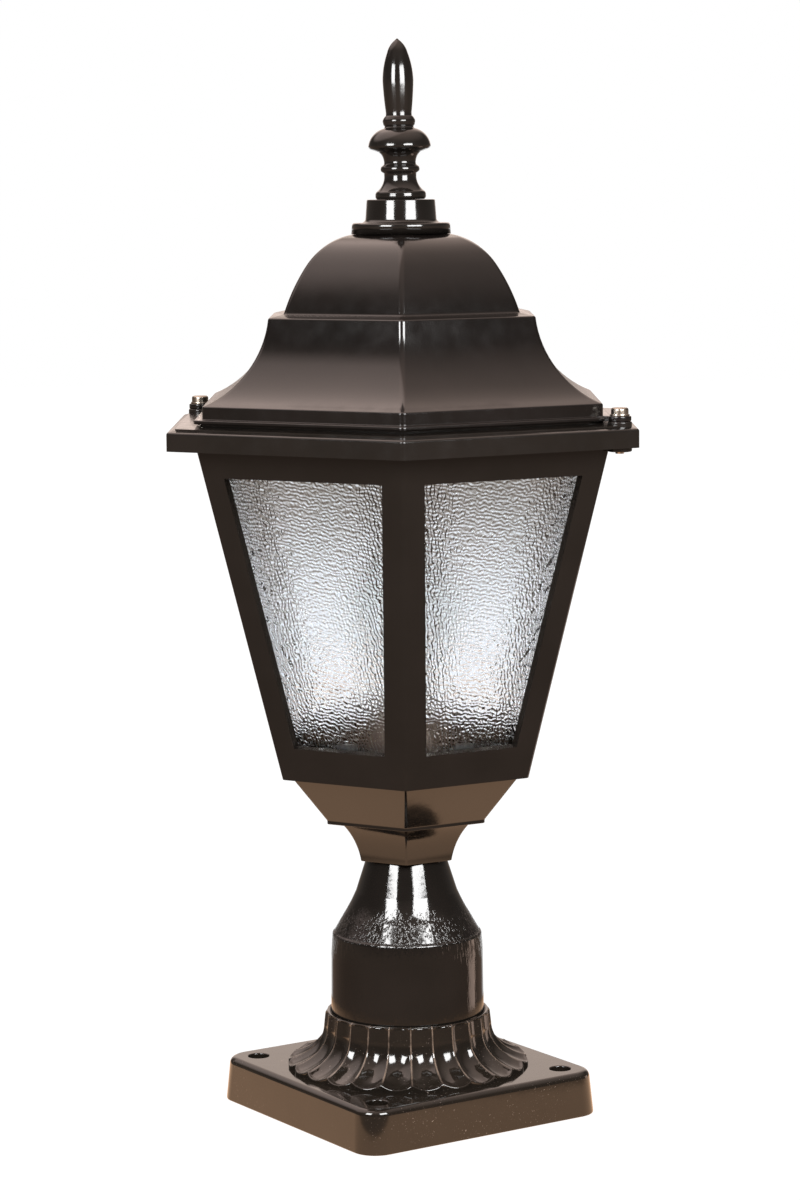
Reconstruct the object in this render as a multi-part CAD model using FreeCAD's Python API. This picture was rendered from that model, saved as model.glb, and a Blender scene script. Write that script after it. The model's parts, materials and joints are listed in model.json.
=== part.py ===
import FreeCAD, Part
import math
import os

from FreeCAD import Vector

# A hexagonal pedestal lantern. Millimetres, +Z up, origin at the middle of the base plate's foot.
# A corner of the head points to -Y. Azimuths are in degrees from -Y towards +X.
# A corner radius is measured from the axis to a corner of the hexagon, a flat radius to a side.

# Base plate with its fluted bell, one casting
plate_side = 134.4
plate_height = 21.0
plate_corner_radius = 13.5
plate_draft = 1.6
plate_edge_radius = 3.0
plate_wall = 4.0
plate_turn = 33.8
anchor_spacing = 104.8
anchor_hole_radius = 5.0
anchor_boss_wall = 4.0
flute_count = 24
first_ridge_azimuth = 2.0
bell_height = 26.6
bell_rim_wall = 2.2
bell_waist_flare = 1.7
bell_waist_height = 15.0
bell_foot_radius = 56.5
bell_foot_height = 2.2
bell_flare_bow = 6.6
flare_share_upper = 0.7
flare_share_middle = 0.45
flare_share_lower = 0.2
bell_wall = 4.0
flute_depth_rim = 0.5
flute_depth_waist = 1.6
flute_depth_flare = 1.4
flute_depth_tip = 0.2
flute_bulge_foot = 1.9
column_socket_depth = 4.6

# Column, one hollow casting
column_radius = 36.4
column_height = 79.2
column_wall = 3.4
column_straight_height = 36.0
column_shoulder_radius = 31.6
column_shoulder_height = 14.0
column_shoulder_bow = 2.0
column_throat_radius = 22.7
column_throat_height = 17.6
column_throat_bow = 1.3
column_top_radius = 18.6
column_web = 4.0
seat_clearance = 0.3

# Neck collar between the column and the bowl
neck_height = 19.6
neck_bottom_corner = 24.9
neck_top_corner = 34.8
neck_bow = 2.6
neck_seat_width = 2.4
neck_web = 4.0
spigot_height = 3.0
spigot_wall = 3.0

# Lower bowl
bowl_height = 23.5
bowl_lip_corner = 43.0
bowl_lip_height = 1.7
bowl_top_inset = 6.4
bowl_wall = 3.2
bowl_floor = 4.0
frame_screw_inset = 13.5
frame_screw_count = 3
frame_screw_radius = 2.0
frame_screw_length = 11.0
frame_screw_boss_wall = 2.6

# Lantern frame, with six windows and the brim
frame_height = 156.5
frame_bottom_corner = 66.4
frame_top_corner = 108.8
frame_wall = 4.0
frame_floor = 3.0
frame_floor_hole_margin = 7.5
mullion_width = 11.0
lower_rail = 16.4
upper_rail = 13.1
brim_overhang = 15.2
brim_lip_height = 8.5
brim_lip_wall = 3.6
brim_web = 3.2
brim_slope = 1.0
brim_step_inset = 4.5
brim_step_height = 1.3
brim_seat_inset = 18.5
brim_seat_height = 1.0
brim_boss_radius = 5.6
brim_boss_drop = 2.0

# Glass panes and what holds them
pane_thickness = 4.0
pane_overlap = 4.5
pane_gap = 0.2
clip_width = 10.0
clip_thickness = 0.8
clip_head_room = 0.2
clip_finger = 6.0
clip_screw_radius = 1.5
clip_screw_length = 3.8
clip_screw_head_radius = 2.7
clip_screw_head_height = 1.6

# Roof, one hollow casting with two ears
roof_wall = 3.0
roof_flange_overhang = 4.5
roof_flange_height = 1.9
roof_fascia_inset = 4.4
roof_fascia_height = 5.9
skirt_height = 39.3
skirt_top_corner = 71.0
skirt_bow = 6.9
ledge_rise = 1.6
ledge_width = 8.1
dome_side_height = 22.6
dome_side_bow = 0.9
dome_shoulder_corner = 50.4
dome_shoulder_height = 13.5
dome_shoulder_bow = 3.2
dome_top_corner = 23.0
roof_rim_height = 4.0
roof_rim_wall = 2.5
roof_rim_clearance = 0.7
ear_screw_inset = 10.0
first_ear_azimuth = 60.0
ear_radius = 5.3
ear_thickness = 2.5
ear_bar_width = 7.0

# Roof screws and their washers
roof_screw_radius = 2.0
roof_screw_length = 18.0
roof_screw_head_radius = 4.0
roof_screw_head_height = 3.0
roof_screw_head_round = 1.0
roof_screw_slot_width = 1.2
roof_screw_slot_depth = 1.4
roof_screw_washer_radius = 4.5
roof_screw_washer_thickness = 0.8

# Finial
cap_flange_radius = 23.3
cap_flange_height = 5.2
cap_flange_round = 1.5
cap_collar_radius = 16.4
cap_collar_top_radius = 15.6
cap_collar_height = 10.8
cap_foot_radius = 17.4
cap_foot_height = 1.8
spindle_foot_radius = 11.8
spindle_foot_height = 3.0
spindle_ring_radius = 9.0
spindle_ring_height = 14.6
spindle_groove_radius = 7.2
spindle_cove_bow = 1.0
mushroom_radius = 14.5
mushroom_height = 23.6
mushroom_edge = 1.6
mushroom_rise = 7.8
mushroom_bow = 2.6
mushroom_under_radius = 8.3
mushroom_under_drop = 3.4
bead_radius = 7.4
bead_height = 36.8
bead_reach = 2.6
flame_neck_radius = 6.0
flame_neck_height = 39.6
flame_radius = 7.1
flame_widest_height = 54.6
flame_shoulder_radius = 4.9
flame_shoulder_height = 67.4
flame_lower_bow = 0.3
flame_upper_bow = 0.8
spindle_height = 74.4
tip_radius = 1.0
tip_bow = 0.9
stud_radius = 3.0
stud_depth = 18.0
stud_tail = 8.0
stud_nut_width = 10.0
stud_nut_height = 5.0
stud_washer_radius = 6.0
stud_washer_thickness = 1.6

# Tie tube, which clamps the base, column, neck and bowl together
tube_radius = 5.0
tube_bore_radius = 3.7
tube_tail = 4.0
tube_clearance = 0.3
tube_nut_width = 15.0
tube_nut_height = 4.0
tube_washer_radius = 10.0
tube_washer_thickness = 1.5
thread_clearance = 0.08

# Lampholder
holder_entry_radius = 7.5
holder_entry_height = 3.0
holder_cone_height = 4.0
holder_skirt_wall = 2.42
holder_cap_height = 15.0
holder_radius = 23.0
holder_top_radius = 21.6
holder_height = 39.4
holder_wall = 2.2
core_inset = 1.0
core_height = 5.0
shell_wall = 0.5
shell_height = 17.0
contact_width = 5.0
contact_length = 16.0
contact_thickness = 0.5
contact_button_radius = 2.0
contact_rise = 1.0
terminal_screw_radius = 1.5
terminal_screw_length = 2.8
terminal_screw_head_radius = 2.8
terminal_screw_head_height = 1.6
terminal_spread = 8.0
terminal_well_depth = 2.0

# Lamp
lamp_cap_radius = 13.2
lamp_cap_length = 21.0
lamp_cap_wall = 0.4
lamp_insulator_radius = 11.0
lamp_insulator_height = 3.6
lamp_contact_radius = 4.6
lamp_contact_height = 1.2
bulb_radius = 27.5
bulb_neck_inset = 0.2
bulb_height = 70.0
bulb_neck_height = 6.0
bulb_shoulder_angle = 32.0
bulb_neck_bow = 1.5
bulb_wall = 1.0
stem_flare_radius = 8.0
stem_flare_height = 10.0
stem_flare_bow = 1.6
stem_radius = 2.6
stem_height = 27.0
filament_radius = 0.35
filament_foot_spread = 1.5
filament_span = 25.0
filament_rise = 13.0
filament_bend_radius = 2.0

# Wiring inside the base
lead_radius = 1.1
lead_spread = 1.35
lead_bend_radius = 12.0
lead_bend_share = 0.45
lead_drop = 8.5
lead_straight = 9.0
block_length = 30.0
block_width = 13.0
block_height = 11.0
block_gap = 2.1
block_pitch = 9.0
block_well_depth = 5.0
block_clamp_radius = 1.3
block_clamp_inset = 2.5
block_screw_radius = 1.5
block_screw_bite = 3.0
block_screw_head_radius = 2.4
block_screw_head_height = 1.5
earth_place_x = 8.0
earth_gap = 11.6
earth_corner_drop = 10.7
earth_boss_radius = 4.6
earth_boss_height = 5.0
earth_screw_radius = 2.0
earth_screw_bite = 5.5
earth_screw_head_radius = 4.0
earth_screw_head_height = 2.4
earth_tag_width = 8.0
earth_tag_length = 10.0
earth_tag_thickness = 0.8
earth_barrel_radius = 1.7
earth_barrel_length = 5.0
earth_barrel_stop = 1.7

# Levels, from the ground up
ceiling_level = plate_height - plate_wall
bell_top_level = plate_height + bell_height
column_level = bell_top_level - column_socket_depth
neck_level = column_level + column_height
bowl_level = neck_level + neck_height
frame_level = bowl_level + bowl_height
brim_level = frame_level + frame_height
brim_edge_level = brim_level + brim_lip_height
brim_step_level = brim_edge_level + brim_slope
brim_top_level = brim_step_level + brim_step_height
roof_level = brim_top_level + brim_seat_height
fascia_level = roof_level + roof_flange_height
skirt_level = fascia_level + roof_fascia_height
ledge_level = skirt_level + skirt_height
dome_level = ledge_level + ledge_rise
shoulder_level = dome_level + dome_side_height
cap_level = shoulder_level + dome_shoulder_height
spindle_level = cap_level + cap_flange_height + cap_collar_height
web_level = column_level - bell_wall
bowl_floor_level = bowl_level + bowl_floor
tube_bottom_level = web_level - tube_washer_thickness - tube_nut_height - tube_tail
tube_nut_level = bowl_floor_level + tube_washer_thickness
holder_level = tube_nut_level + tube_nut_height + tube_clearance
tube_top_level = holder_level + holder_entry_height + holder_wall
holder_cap_top = holder_level + holder_cap_height
holder_top = holder_level + holder_height
core_top = holder_cap_top + core_height
lamp_level = core_top + contact_rise + thread_clearance
lamp_cap_top = lamp_level + lamp_contact_height + lamp_insulator_height + lamp_cap_length

# Working values that follow from the sizes above
flat_share = math.cos(math.radians(30.0))
bell_rim_radius = column_radius + seat_clearance + bell_rim_wall
bell_waist_radius = bell_rim_radius + bell_waist_flare
neck_bore_radius = column_top_radius - neck_seat_width
bowl_top_corner = frame_bottom_corner - bowl_top_inset
frame_screw_circle = bowl_top_corner - frame_screw_inset
frame_floor_hole_radius = frame_screw_circle - frame_floor_hole_margin
brim_corner = frame_top_corner + brim_overhang
brim_step_corner = brim_corner - brim_step_inset
brim_seat_corner = brim_corner - brim_seat_inset
ear_screw_circle = brim_corner - ear_screw_inset
roof_flange_corner = brim_seat_corner + roof_flange_overhang
roof_fascia_corner = roof_flange_corner - roof_fascia_inset
dome_corner = skirt_top_corner - ledge_width
holder_cap_radius = holder_radius - holder_skirt_wall - thread_clearance
core_radius = holder_cap_radius - core_inset
bulb_neck_radius = lamp_cap_radius - bulb_neck_inset
plate_inner_half = plate_side / 2 - plate_wall - plate_draft
block_reach = plate_inner_half - block_gap - block_width / 2
earth_place_y = earth_gap - plate_inner_half
side_azimuths = [30.0 + 60.0 * side for side in range(6)]
side_names = ["front_right", "right", "back_right", "back_left", "left", "front_left"]
frame_rise = (frame_top_corner - frame_bottom_corner) * flat_share
frame_tilt = math.atan2(frame_rise, frame_height)
frame_wall_level = frame_wall / math.cos(frame_tilt)
face_length = math.hypot(frame_rise, frame_height)
window_bottom = lower_rail
window_top = face_length - upper_rail
mouth_flat = frame_top_corner * flat_share - frame_wall_level
pane_back = frame_wall + pane_gap + pane_thickness
clip_foot = 2 * (clip_screw_head_radius + clip_head_room + clip_thickness)
ear_azimuths = [first_ear_azimuth, first_ear_azimuth + 180.0]
reach = 2.0 * brim_corner
cut_room = 2.0


def polar(radius, azimuth, level=0.0):
    angle = math.radians(azimuth)
    return Vector(radius * math.sin(angle), -radius * math.cos(angle), level)


def disc(radius, level, height, place=Vector(0, 0, 0)):
    return Part.makeCylinder(radius, height, Vector(place.x, place.y, level))


def edge_between(start, end, bow):
    # A straight edge, or an arc that stands out by its bow to the right of the way it runs
    if bow == 0:
        return Part.LineSegment(start, end).toShape()
    along = (end - start).normalize()
    outwards = Vector(along.z, 0, -along.x)
    middle = (start + end) * 0.5 + outwards * bow
    return Part.Arc(start, middle, end).toShape()


def outline_edges(points):
    # Each point is (x, z) or (x, z, bow), where the bow is that of the stretch to the next point
    edges = []
    for here, following in zip(points, points[1:]):
        start = Vector(here[0], 0, here[1])
        end = Vector(following[0], 0, following[1])
        bow = here[2] if len(here) == 3 else 0
        edges.append(edge_between(start, end, bow))
    return edges


def turned(points):
    # A body of revolution about the axis, from an outline that closes on itself
    edges = outline_edges(points + [points[0][:2]])
    face = Part.Face(Part.Wire(edges))
    return face.revolve(Vector(0, 0, 0), Vector(0, 0, 1), 360)


def six_sided(points):
    # A hexagonal body whose flat radius follows the outline from its bottom to its top
    half = outline_edges(points)
    other_half = [edge.mirror(Vector(0, 0, 0), Vector(1, 0, 0)) for edge in half]
    low, high = points[0], points[-1]
    floor = edge_between(Vector(-low[0], 0, low[1]), Vector(low[0], 0, low[1]), 0)
    roof = edge_between(Vector(high[0], 0, high[1]), Vector(-high[0], 0, high[1]), 0)
    wire = Part.Wire(Part.__sortEdges__(half + other_half + [floor, roof]))
    slab = Part.Face(wire).extrude(Vector(0, 2 * reach, 0))
    slab.translate(Vector(0, -reach, 0))
    body = slab
    for turn in (60.0, 120.0):
        other = slab.copy()
        other.rotate(Vector(0, 0, 0), Vector(0, 0, 1), turn)
        body = body.common(other)
    return body


def prism(flat_radius, level, height):
    return six_sided([(flat_radius, level), (flat_radius, level + height)])


def nut(width, height, bore, level, place=Vector(0, 0, 0)):
    body = Part.makeCylinder(width, height, Vector(0, 0, 0))
    for turn in (0.0, 60.0, 120.0):
        slab = Part.makeBox(width, 4 * width, height, Vector(-width / 2, -2 * width, 0))
        slab.rotate(Vector(0, 0, 0), Vector(0, 0, 1), turn)
        body = body.common(slab)
    body = body.cut(Part.makeCylinder(bore, height))
    body.translate(Vector(place.x, place.y, level))
    return body


def ring(outer, inner, level, height, place=Vector(0, 0, 0)):
    return disc(outer, level, height, place).cut(disc(inner, level, height, place))


def on_face(shape, azimuth):
    # From a flat drawing, x across, z up the face and y inwards, to its place on a tilted side
    placed = shape.copy()
    placed.rotate(Vector(0, 0, 0), Vector(1, 0, 0), math.degrees(frame_tilt))
    placed.translate(Vector(0, -frame_bottom_corner * flat_share, frame_level))
    placed.rotate(Vector(0, 0, 0), Vector(0, 0, 1), azimuth)
    return placed


def half_face(height_on_face):
    # Half of a side's width at a height measured up the tilted face
    growth = (frame_top_corner - frame_bottom_corner) / face_length
    return (frame_bottom_corner + growth * height_on_face) / 2


def face_panel(bottom, top, margin, depth, thickness):
    # A panel as wide as the face less a margin on each side, between two heights on the face
    low, high = half_face(bottom) - margin, half_face(top) - margin
    corners = [(-low, bottom), (low, bottom), (high, top), (-high, top), (-low, bottom)]
    wire = Part.makePolygon([Vector(x, depth, z) for x, z in corners])
    return Part.Face(wire).extrude(Vector(0, thickness, 0))


def rounded_square(side, corner_radius, level):
    half = side / 2
    inner = half - corner_radius
    diagonal = inner + corner_radius * math.sqrt(0.5)
    edges = []
    for quarter in range(4):
        start = Vector(half, -inner, level)
        corner_start = Vector(half, inner, level)
        corner_middle = Vector(diagonal, diagonal, level)
        corner_end = Vector(inner, half, level)
        side_edge = Part.LineSegment(start, corner_start)
        corner_edge = Part.Arc(corner_start, corner_middle, corner_end)
        for edge in (side_edge, corner_edge):
            shape = edge.toShape()
            shape.rotate(Vector(0, 0, 0), Vector(0, 0, 1), 90.0 * quarter)
            edges.append(shape)
    return Part.Wire(edges)


def on_plate(x, y, level=0.0):
    # A place given along the plate's own sides
    place = Vector(x, y, level)
    turn = FreeCAD.Rotation(Vector(0, 0, 1), plate_turn)
    return turn.multVec(place)


def turned_with_plate(shape):
    placed = shape.copy()
    placed.rotate(Vector(0, 0, 0), Vector(0, 0, 1), plate_turn)
    return placed


def save(name, shape):
    shape.exportStep("parts/" + name + ".step")
    print(name, "solids", len(shape.Solids), "volume", round(shape.Volume, 1), "valid", shape.isValid())


def save_group(name, shapes):
    save(name, Part.makeCompound(shapes))


# Base plate and bell

def fluted_section(radius, depth, level):
    # A ring of arcs between the ridges, hollow where the depth is positive and bulging where negative
    pitch = 360.0 / flute_count
    edges = []
    for flute in range(flute_count):
        azimuth = first_ridge_azimuth + pitch * flute
        start = polar(radius, azimuth, level)
        end = polar(radius, azimuth + pitch, level)
        middle_radius = radius * math.cos(math.radians(pitch / 2)) - depth
        edges.append(Part.Arc(start, polar(middle_radius, azimuth + pitch / 2, level), end).toShape())
    return Part.Wire(edges)


def bell_sections():
    # The rim and the waist, then three sections down the flare and the bulging foot
    waist = Vector(bell_waist_radius, 0, plate_height + bell_waist_height)
    foot = Vector(bell_foot_radius, 0, plate_height + bell_foot_height)
    flare = edge_between(foot, waist, -bell_flare_bow)
    stations = [
        (bell_rim_radius, flute_depth_rim, bell_top_level),
        (waist.x, flute_depth_waist, waist.z),
    ]
    flare_stations = [
        (flare_share_upper, flute_depth_waist),
        (flare_share_middle, flute_depth_flare),
        (flare_share_lower, flute_depth_tip),
    ]
    flare_span = flare.LastParameter - flare.FirstParameter
    for share, depth in flare_stations:
        point = flare.valueAt(flare.FirstParameter + share * flare_span)
        stations.append((point.x, depth, point.z))
    stations.append((foot.x, -flute_bulge_foot, foot.z))
    return stations


def make_base():
    foot = rounded_square(plate_side, plate_corner_radius, 0)
    top = rounded_square(plate_side - 2 * plate_draft, plate_corner_radius, plate_height)
    block = Part.makeLoft([foot, top], True, True)
    top_edges = [edge for edge in block.Edges if min(point.Z for point in edge.Vertexes) > plate_height / 2]
    block = block.makeFillet(plate_edge_radius, top_edges)
    inner_side = plate_side - 2 * plate_wall
    inner_corner = plate_corner_radius - plate_wall
    cavity_foot = rounded_square(inner_side, inner_corner, 0)
    cavity_top = rounded_square(inner_side - 2 * plate_draft, inner_corner, ceiling_level)
    bosses = []
    holes = []
    half = anchor_spacing / 2
    for x in (-half, half):
        for y in (-half, half):
            place = Vector(x, y, 0)
            bosses.append(disc(anchor_hole_radius + anchor_boss_wall, 0, ceiling_level, place))
            holes.append(disc(anchor_hole_radius, 0, plate_height, place))
    cavity = Part.makeLoft([cavity_foot, cavity_top], True, True).cut(Part.makeCompound(bosses))
    plate = turned_with_plate(block.cut(cavity).cut(Part.makeCompound(holes)))

    sections = [fluted_section(*station) for station in bell_sections()]
    skirt = Part.makeLoft(sections, True, False)
    foot_ring = Part.Face(sections[-1]).extrude(Vector(0, 0, -bell_foot_height))
    bell = skirt.fuse(foot_ring)
    socket = disc(column_radius + seat_clearance, column_level, column_socket_depth)
    throat_radius = column_radius - column_wall
    hollow_top_radius = throat_radius - bell_wall
    hollow = turned([
        (0, 0),
        (throat_radius, 0),
        (throat_radius, plate_height),
        (hollow_top_radius, web_level),
        (0, web_level),
    ])
    hole = disc(tube_radius + tube_clearance, web_level, bell_wall)
    base = plate.fuse(make_earth_boss()).fuse(bell)
    return base.cut(hollow).cut(socket).cut(hole).cut(base_screw_holes()).removeSplitter()


def make_column():
    straight_top = column_level + column_straight_height
    shoulder = straight_top + column_shoulder_height
    throat = shoulder + column_throat_height
    outer = turned([
        (0, column_level),
        (column_radius, column_level),
        (column_radius, straight_top, column_shoulder_bow),
        (column_shoulder_radius, shoulder, -column_throat_bow),
        (column_throat_radius, throat, column_throat_bow),
        (column_top_radius, neck_level),
        (0, neck_level),
    ])
    inner = turned([
        (0, column_level),
        (column_radius - column_wall, column_level),
        (column_radius - column_wall, straight_top - column_wall, column_shoulder_bow),
        (column_shoulder_radius - column_wall, shoulder - column_wall, -column_throat_bow),
        (column_throat_radius - column_wall, throat - column_wall),
        (column_top_radius - column_wall, neck_level - column_web),
        (0, neck_level - column_web),
    ])
    spigot_radius = neck_bore_radius - seat_clearance
    spigot = ring(spigot_radius, spigot_radius - spigot_wall, neck_level, spigot_height)
    hole = disc(tube_radius + tube_clearance, neck_level - column_web, column_web)
    return outer.cut(inner).cut(hole).fuse(spigot).removeSplitter()


def make_neck():
    outer = six_sided([
        (neck_bottom_corner * flat_share, neck_level, -neck_bow),
        (neck_top_corner * flat_share, bowl_level),
    ])
    bore = disc(neck_bore_radius, neck_level, neck_height - neck_web)
    hole = disc(tube_radius + tube_clearance, bowl_level - neck_web, neck_web)
    return outer.cut(bore).cut(hole)


# Bowl, frame and glass

def make_bowl():
    lip_flat = bowl_lip_corner * flat_share
    top_flat = bowl_top_corner * flat_share
    outer = six_sided([
        (lip_flat, bowl_level),
        (lip_flat, bowl_level + bowl_lip_height),
        (top_flat, frame_level),
    ])
    inner = six_sided([
        (lip_flat - bowl_wall, bowl_floor_level),
        (top_flat - bowl_wall, frame_level),
    ])
    boss_radius = frame_screw_radius + frame_screw_boss_wall
    boss_height = frame_level - bowl_floor_level
    hole_level = frame_level - frame_screw_length
    bosses = []
    holes = []
    for place in frame_screw_places():
        bosses.append(disc(boss_radius, bowl_floor_level, boss_height, place))
        holes.append(disc(frame_screw_radius + thread_clearance, hole_level, frame_screw_length, place))
    bosses = Part.makeCompound(bosses).common(outer)
    hole = disc(tube_radius + tube_clearance, bowl_level, bowl_floor)
    bowl = outer.cut(inner).fuse(bosses.Solids)
    return bowl.cut(Part.makeCompound(holes)).cut(hole).removeSplitter()


def frame_screw_places():
    pitch = 360.0 / frame_screw_count
    return [polar(frame_screw_circle, pitch * index) for index in range(frame_screw_count)]


def make_frame():
    bottom_flat = frame_bottom_corner * flat_share
    top_flat = frame_top_corner * flat_share
    outer = six_sided([(bottom_flat, frame_level), (top_flat, brim_level)])
    inner = six_sided([
        (bottom_flat - frame_wall_level, frame_level),
        (top_flat - frame_wall_level, brim_level),
    ])
    floor = six_sided([
        (bottom_flat, frame_level),
        (bottom_flat + frame_floor * math.tan(frame_tilt), frame_level + frame_floor),
    ])
    floor = floor.cut(disc(frame_floor_hole_radius, frame_level, frame_floor))
    screw_holes = []
    for place in frame_screw_places():
        screw_holes.append(disc(frame_screw_radius + seat_clearance, frame_level, frame_floor, place))
    walls = outer.cut(inner).fuse(floor).cut(Part.makeCompound(screw_holes))

    brim = six_sided([
        (brim_corner * flat_share, brim_level),
        (brim_corner * flat_share, brim_edge_level),
        (brim_step_corner * flat_share, brim_step_level),
        (brim_step_corner * flat_share, brim_step_level + brim_step_height / 2),
        (brim_seat_corner * flat_share, brim_top_level),
        (brim_seat_corner * flat_share, roof_level),
    ])
    brim = brim.cut(prism(mouth_flat, brim_level, roof_level - brim_level))
    hollow = prism(brim_corner * flat_share - brim_lip_wall, brim_level, brim_lip_height - brim_web)
    brim = brim.cut(hollow.cut(prism(top_flat, brim_level, brim_lip_height)))
    frame = walls.fuse(brim)
    boss_level = brim_level - brim_boss_drop
    boss_height = roof_level - boss_level
    for azimuth in ear_azimuths:
        place = polar(ear_screw_circle, azimuth)
        boss = disc(brim_boss_radius, boss_level, boss_height, place)
        hole = disc(roof_screw_radius + thread_clearance, boss_level, boss_height, place)
        frame = frame.fuse(boss).cut(hole)

    for azimuth in side_azimuths:
        cut_depth = frame_wall + 2 * cut_room
        window = face_panel(window_bottom, window_top, mullion_width, -cut_room, cut_depth)
        frame = frame.cut(on_face(window, azimuth))
        for height_on_face in clip_screw_heights():
            hole = Part.makeCylinder(
                clip_screw_radius + thread_clearance,
                clip_screw_length - clip_thickness,
                Vector(0, frame_wall, height_on_face),
                Vector(0, -1, 0),
            )
            frame = frame.cut(on_face(hole, azimuth))
    return frame.removeSplitter()


def make_pane():
    return face_panel(
        window_bottom - pane_overlap,
        window_top + pane_overlap,
        mullion_width - pane_overlap,
        frame_wall + pane_gap,
        pane_thickness,
    )


def clip_screw_heights():
    # Below the pane and above it
    lower = window_bottom - pane_overlap - pane_gap - clip_foot / 2
    upper = window_top + pane_overlap + pane_gap + clip_foot / 2
    return [lower, upper]


def make_clip(height_on_face, way):
    # A spring strip bent from the rail over the edge of the glass; way is +1 up the face, -1 down
    step = pane_back + pane_gap - frame_wall
    foot_end = way * clip_foot / 2
    x = -clip_width / 2
    foot_place = Vector(x, frame_wall, height_on_face - clip_foot / 2)
    foot = Part.makeBox(clip_width, clip_thickness, clip_foot, foot_place)
    riser_low = height_on_face + min(foot_end, foot_end - way * clip_thickness)
    riser = Part.makeBox(clip_width, step, clip_thickness, Vector(x, frame_wall, riser_low))
    finger_low = height_on_face + min(foot_end - way * clip_thickness, foot_end + way * clip_finger)
    finger_height = clip_finger + clip_thickness
    finger_place = Vector(x, frame_wall + step, finger_low)
    finger = Part.makeBox(clip_width, clip_thickness, finger_height, finger_place)
    hole_start = Vector(0, frame_wall, height_on_face)
    hole_radius = clip_screw_radius + thread_clearance
    hole = Part.makeCylinder(hole_radius, clip_thickness, hole_start, Vector(0, 1, 0))
    return foot.fuse(riser).fuse(finger).cut(hole).removeSplitter()


def make_clip_screw(height_on_face):
    seat = Vector(0, frame_wall + clip_thickness, height_on_face)
    shank = Part.makeCylinder(clip_screw_radius, clip_screw_length, seat, Vector(0, -1, 0))
    head = Part.makeCylinder(clip_screw_head_radius, clip_screw_head_height, seat, Vector(0, 1, 0))
    return head.fuse(shank)


def make_frame_screw(place):
    head_height = frame_screw_radius
    top = frame_level + frame_floor
    shank = disc(frame_screw_radius, top - frame_screw_length, frame_screw_length, place)
    return shank.fuse(disc(2 * frame_screw_radius, top, head_height, place))


# Roof and finial

def make_roof():
    flange = roof_flange_corner * flat_share
    fascia = roof_fascia_corner * flat_share
    skirt_top = skirt_top_corner * flat_share
    dome = dome_corner * flat_share
    shoulder = dome_shoulder_corner * flat_share
    top = dome_top_corner * flat_share
    outer = six_sided([
        (flange, roof_level),
        (flange, fascia_level),
        (fascia, fascia_level),
        (fascia, skirt_level, -skirt_bow),
        (skirt_top, ledge_level),
        (dome, dome_level, dome_side_bow),
        (shoulder, shoulder_level, dome_shoulder_bow),
        (top, cap_level),
    ])
    inner = six_sided([
        (fascia - roof_wall, roof_level),
        (fascia - roof_wall, skirt_level - roof_wall, -skirt_bow),
        (skirt_top - roof_wall, ledge_level - roof_wall),
        (dome - roof_wall, dome_level - roof_wall, dome_side_bow),
        (shoulder - roof_wall, shoulder_level - roof_wall, dome_shoulder_bow),
        (top - roof_wall, cap_level - roof_wall),
    ])
    roof = outer.cut(inner)
    rim_flat = mouth_flat - roof_rim_clearance
    rim_height = roof_rim_height + roof_flange_height
    rim_level = roof_level - roof_rim_height
    rim = prism(rim_flat, rim_level, rim_height)
    rim = rim.cut(prism(rim_flat - roof_rim_wall, rim_level, rim_height))
    roof = roof.fuse(rim)
    bar_length = ear_screw_circle - rim_flat / flat_share
    bar_place = Vector(-ear_bar_width / 2, -ear_screw_circle, roof_level)
    for azimuth in ear_azimuths:
        place = polar(ear_screw_circle, azimuth)
        ear = disc(ear_radius, roof_level, ear_thickness, place)
        bar = Part.makeBox(ear_bar_width, bar_length, ear_thickness, bar_place)
        bar.rotate(Vector(0, 0, 0), Vector(0, 0, 1), azimuth)
        hole = disc(roof_screw_radius + seat_clearance, roof_level, ear_thickness, place)
        roof = roof.fuse(ear).fuse(bar).cut(hole)
    roof = roof.cut(disc(stud_radius + seat_clearance, cap_level - roof_wall, roof_wall))
    return roof.removeSplitter()


def make_roof_screw(azimuth):
    place = polar(ear_screw_circle, azimuth)
    seat = roof_level + ear_thickness + roof_screw_washer_thickness
    head = disc(roof_screw_head_radius, seat, roof_screw_head_height, place)
    middle = seat + roof_screw_head_height / 2
    rim = [edge for edge in head.Edges if edge.BoundBox.ZMin > middle and edge.Closed]
    head = head.makeFillet(roof_screw_head_round, rim)
    slot_length = 2 * (roof_screw_head_radius + cut_room)
    slot_level = seat + roof_screw_head_height - roof_screw_slot_depth
    corner = Vector(-slot_length / 2, -roof_screw_slot_width / 2, slot_level)
    slot = Part.makeBox(slot_length, roof_screw_slot_width, roof_screw_slot_depth, corner)
    slot.translate(place)
    shank = disc(roof_screw_radius, seat - roof_screw_length, roof_screw_length, place)
    return head.cut(slot).fuse(shank)


def make_finial_cap():
    flange_top = cap_level + cap_flange_height
    body = turned([
        (0, cap_level),
        (cap_flange_radius, cap_level),
        (cap_flange_radius, flange_top - cap_flange_round, cap_flange_round * (1 - math.sqrt(0.5))),
        (cap_flange_radius - cap_flange_round, flange_top),
        (cap_foot_radius, flange_top),
        (cap_collar_radius, flange_top + cap_foot_height),
        (cap_collar_top_radius, spindle_level),
        (0, spindle_level),
    ])
    return body.cut(disc(stud_radius + thread_clearance, cap_level, spindle_level - cap_level))


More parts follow.
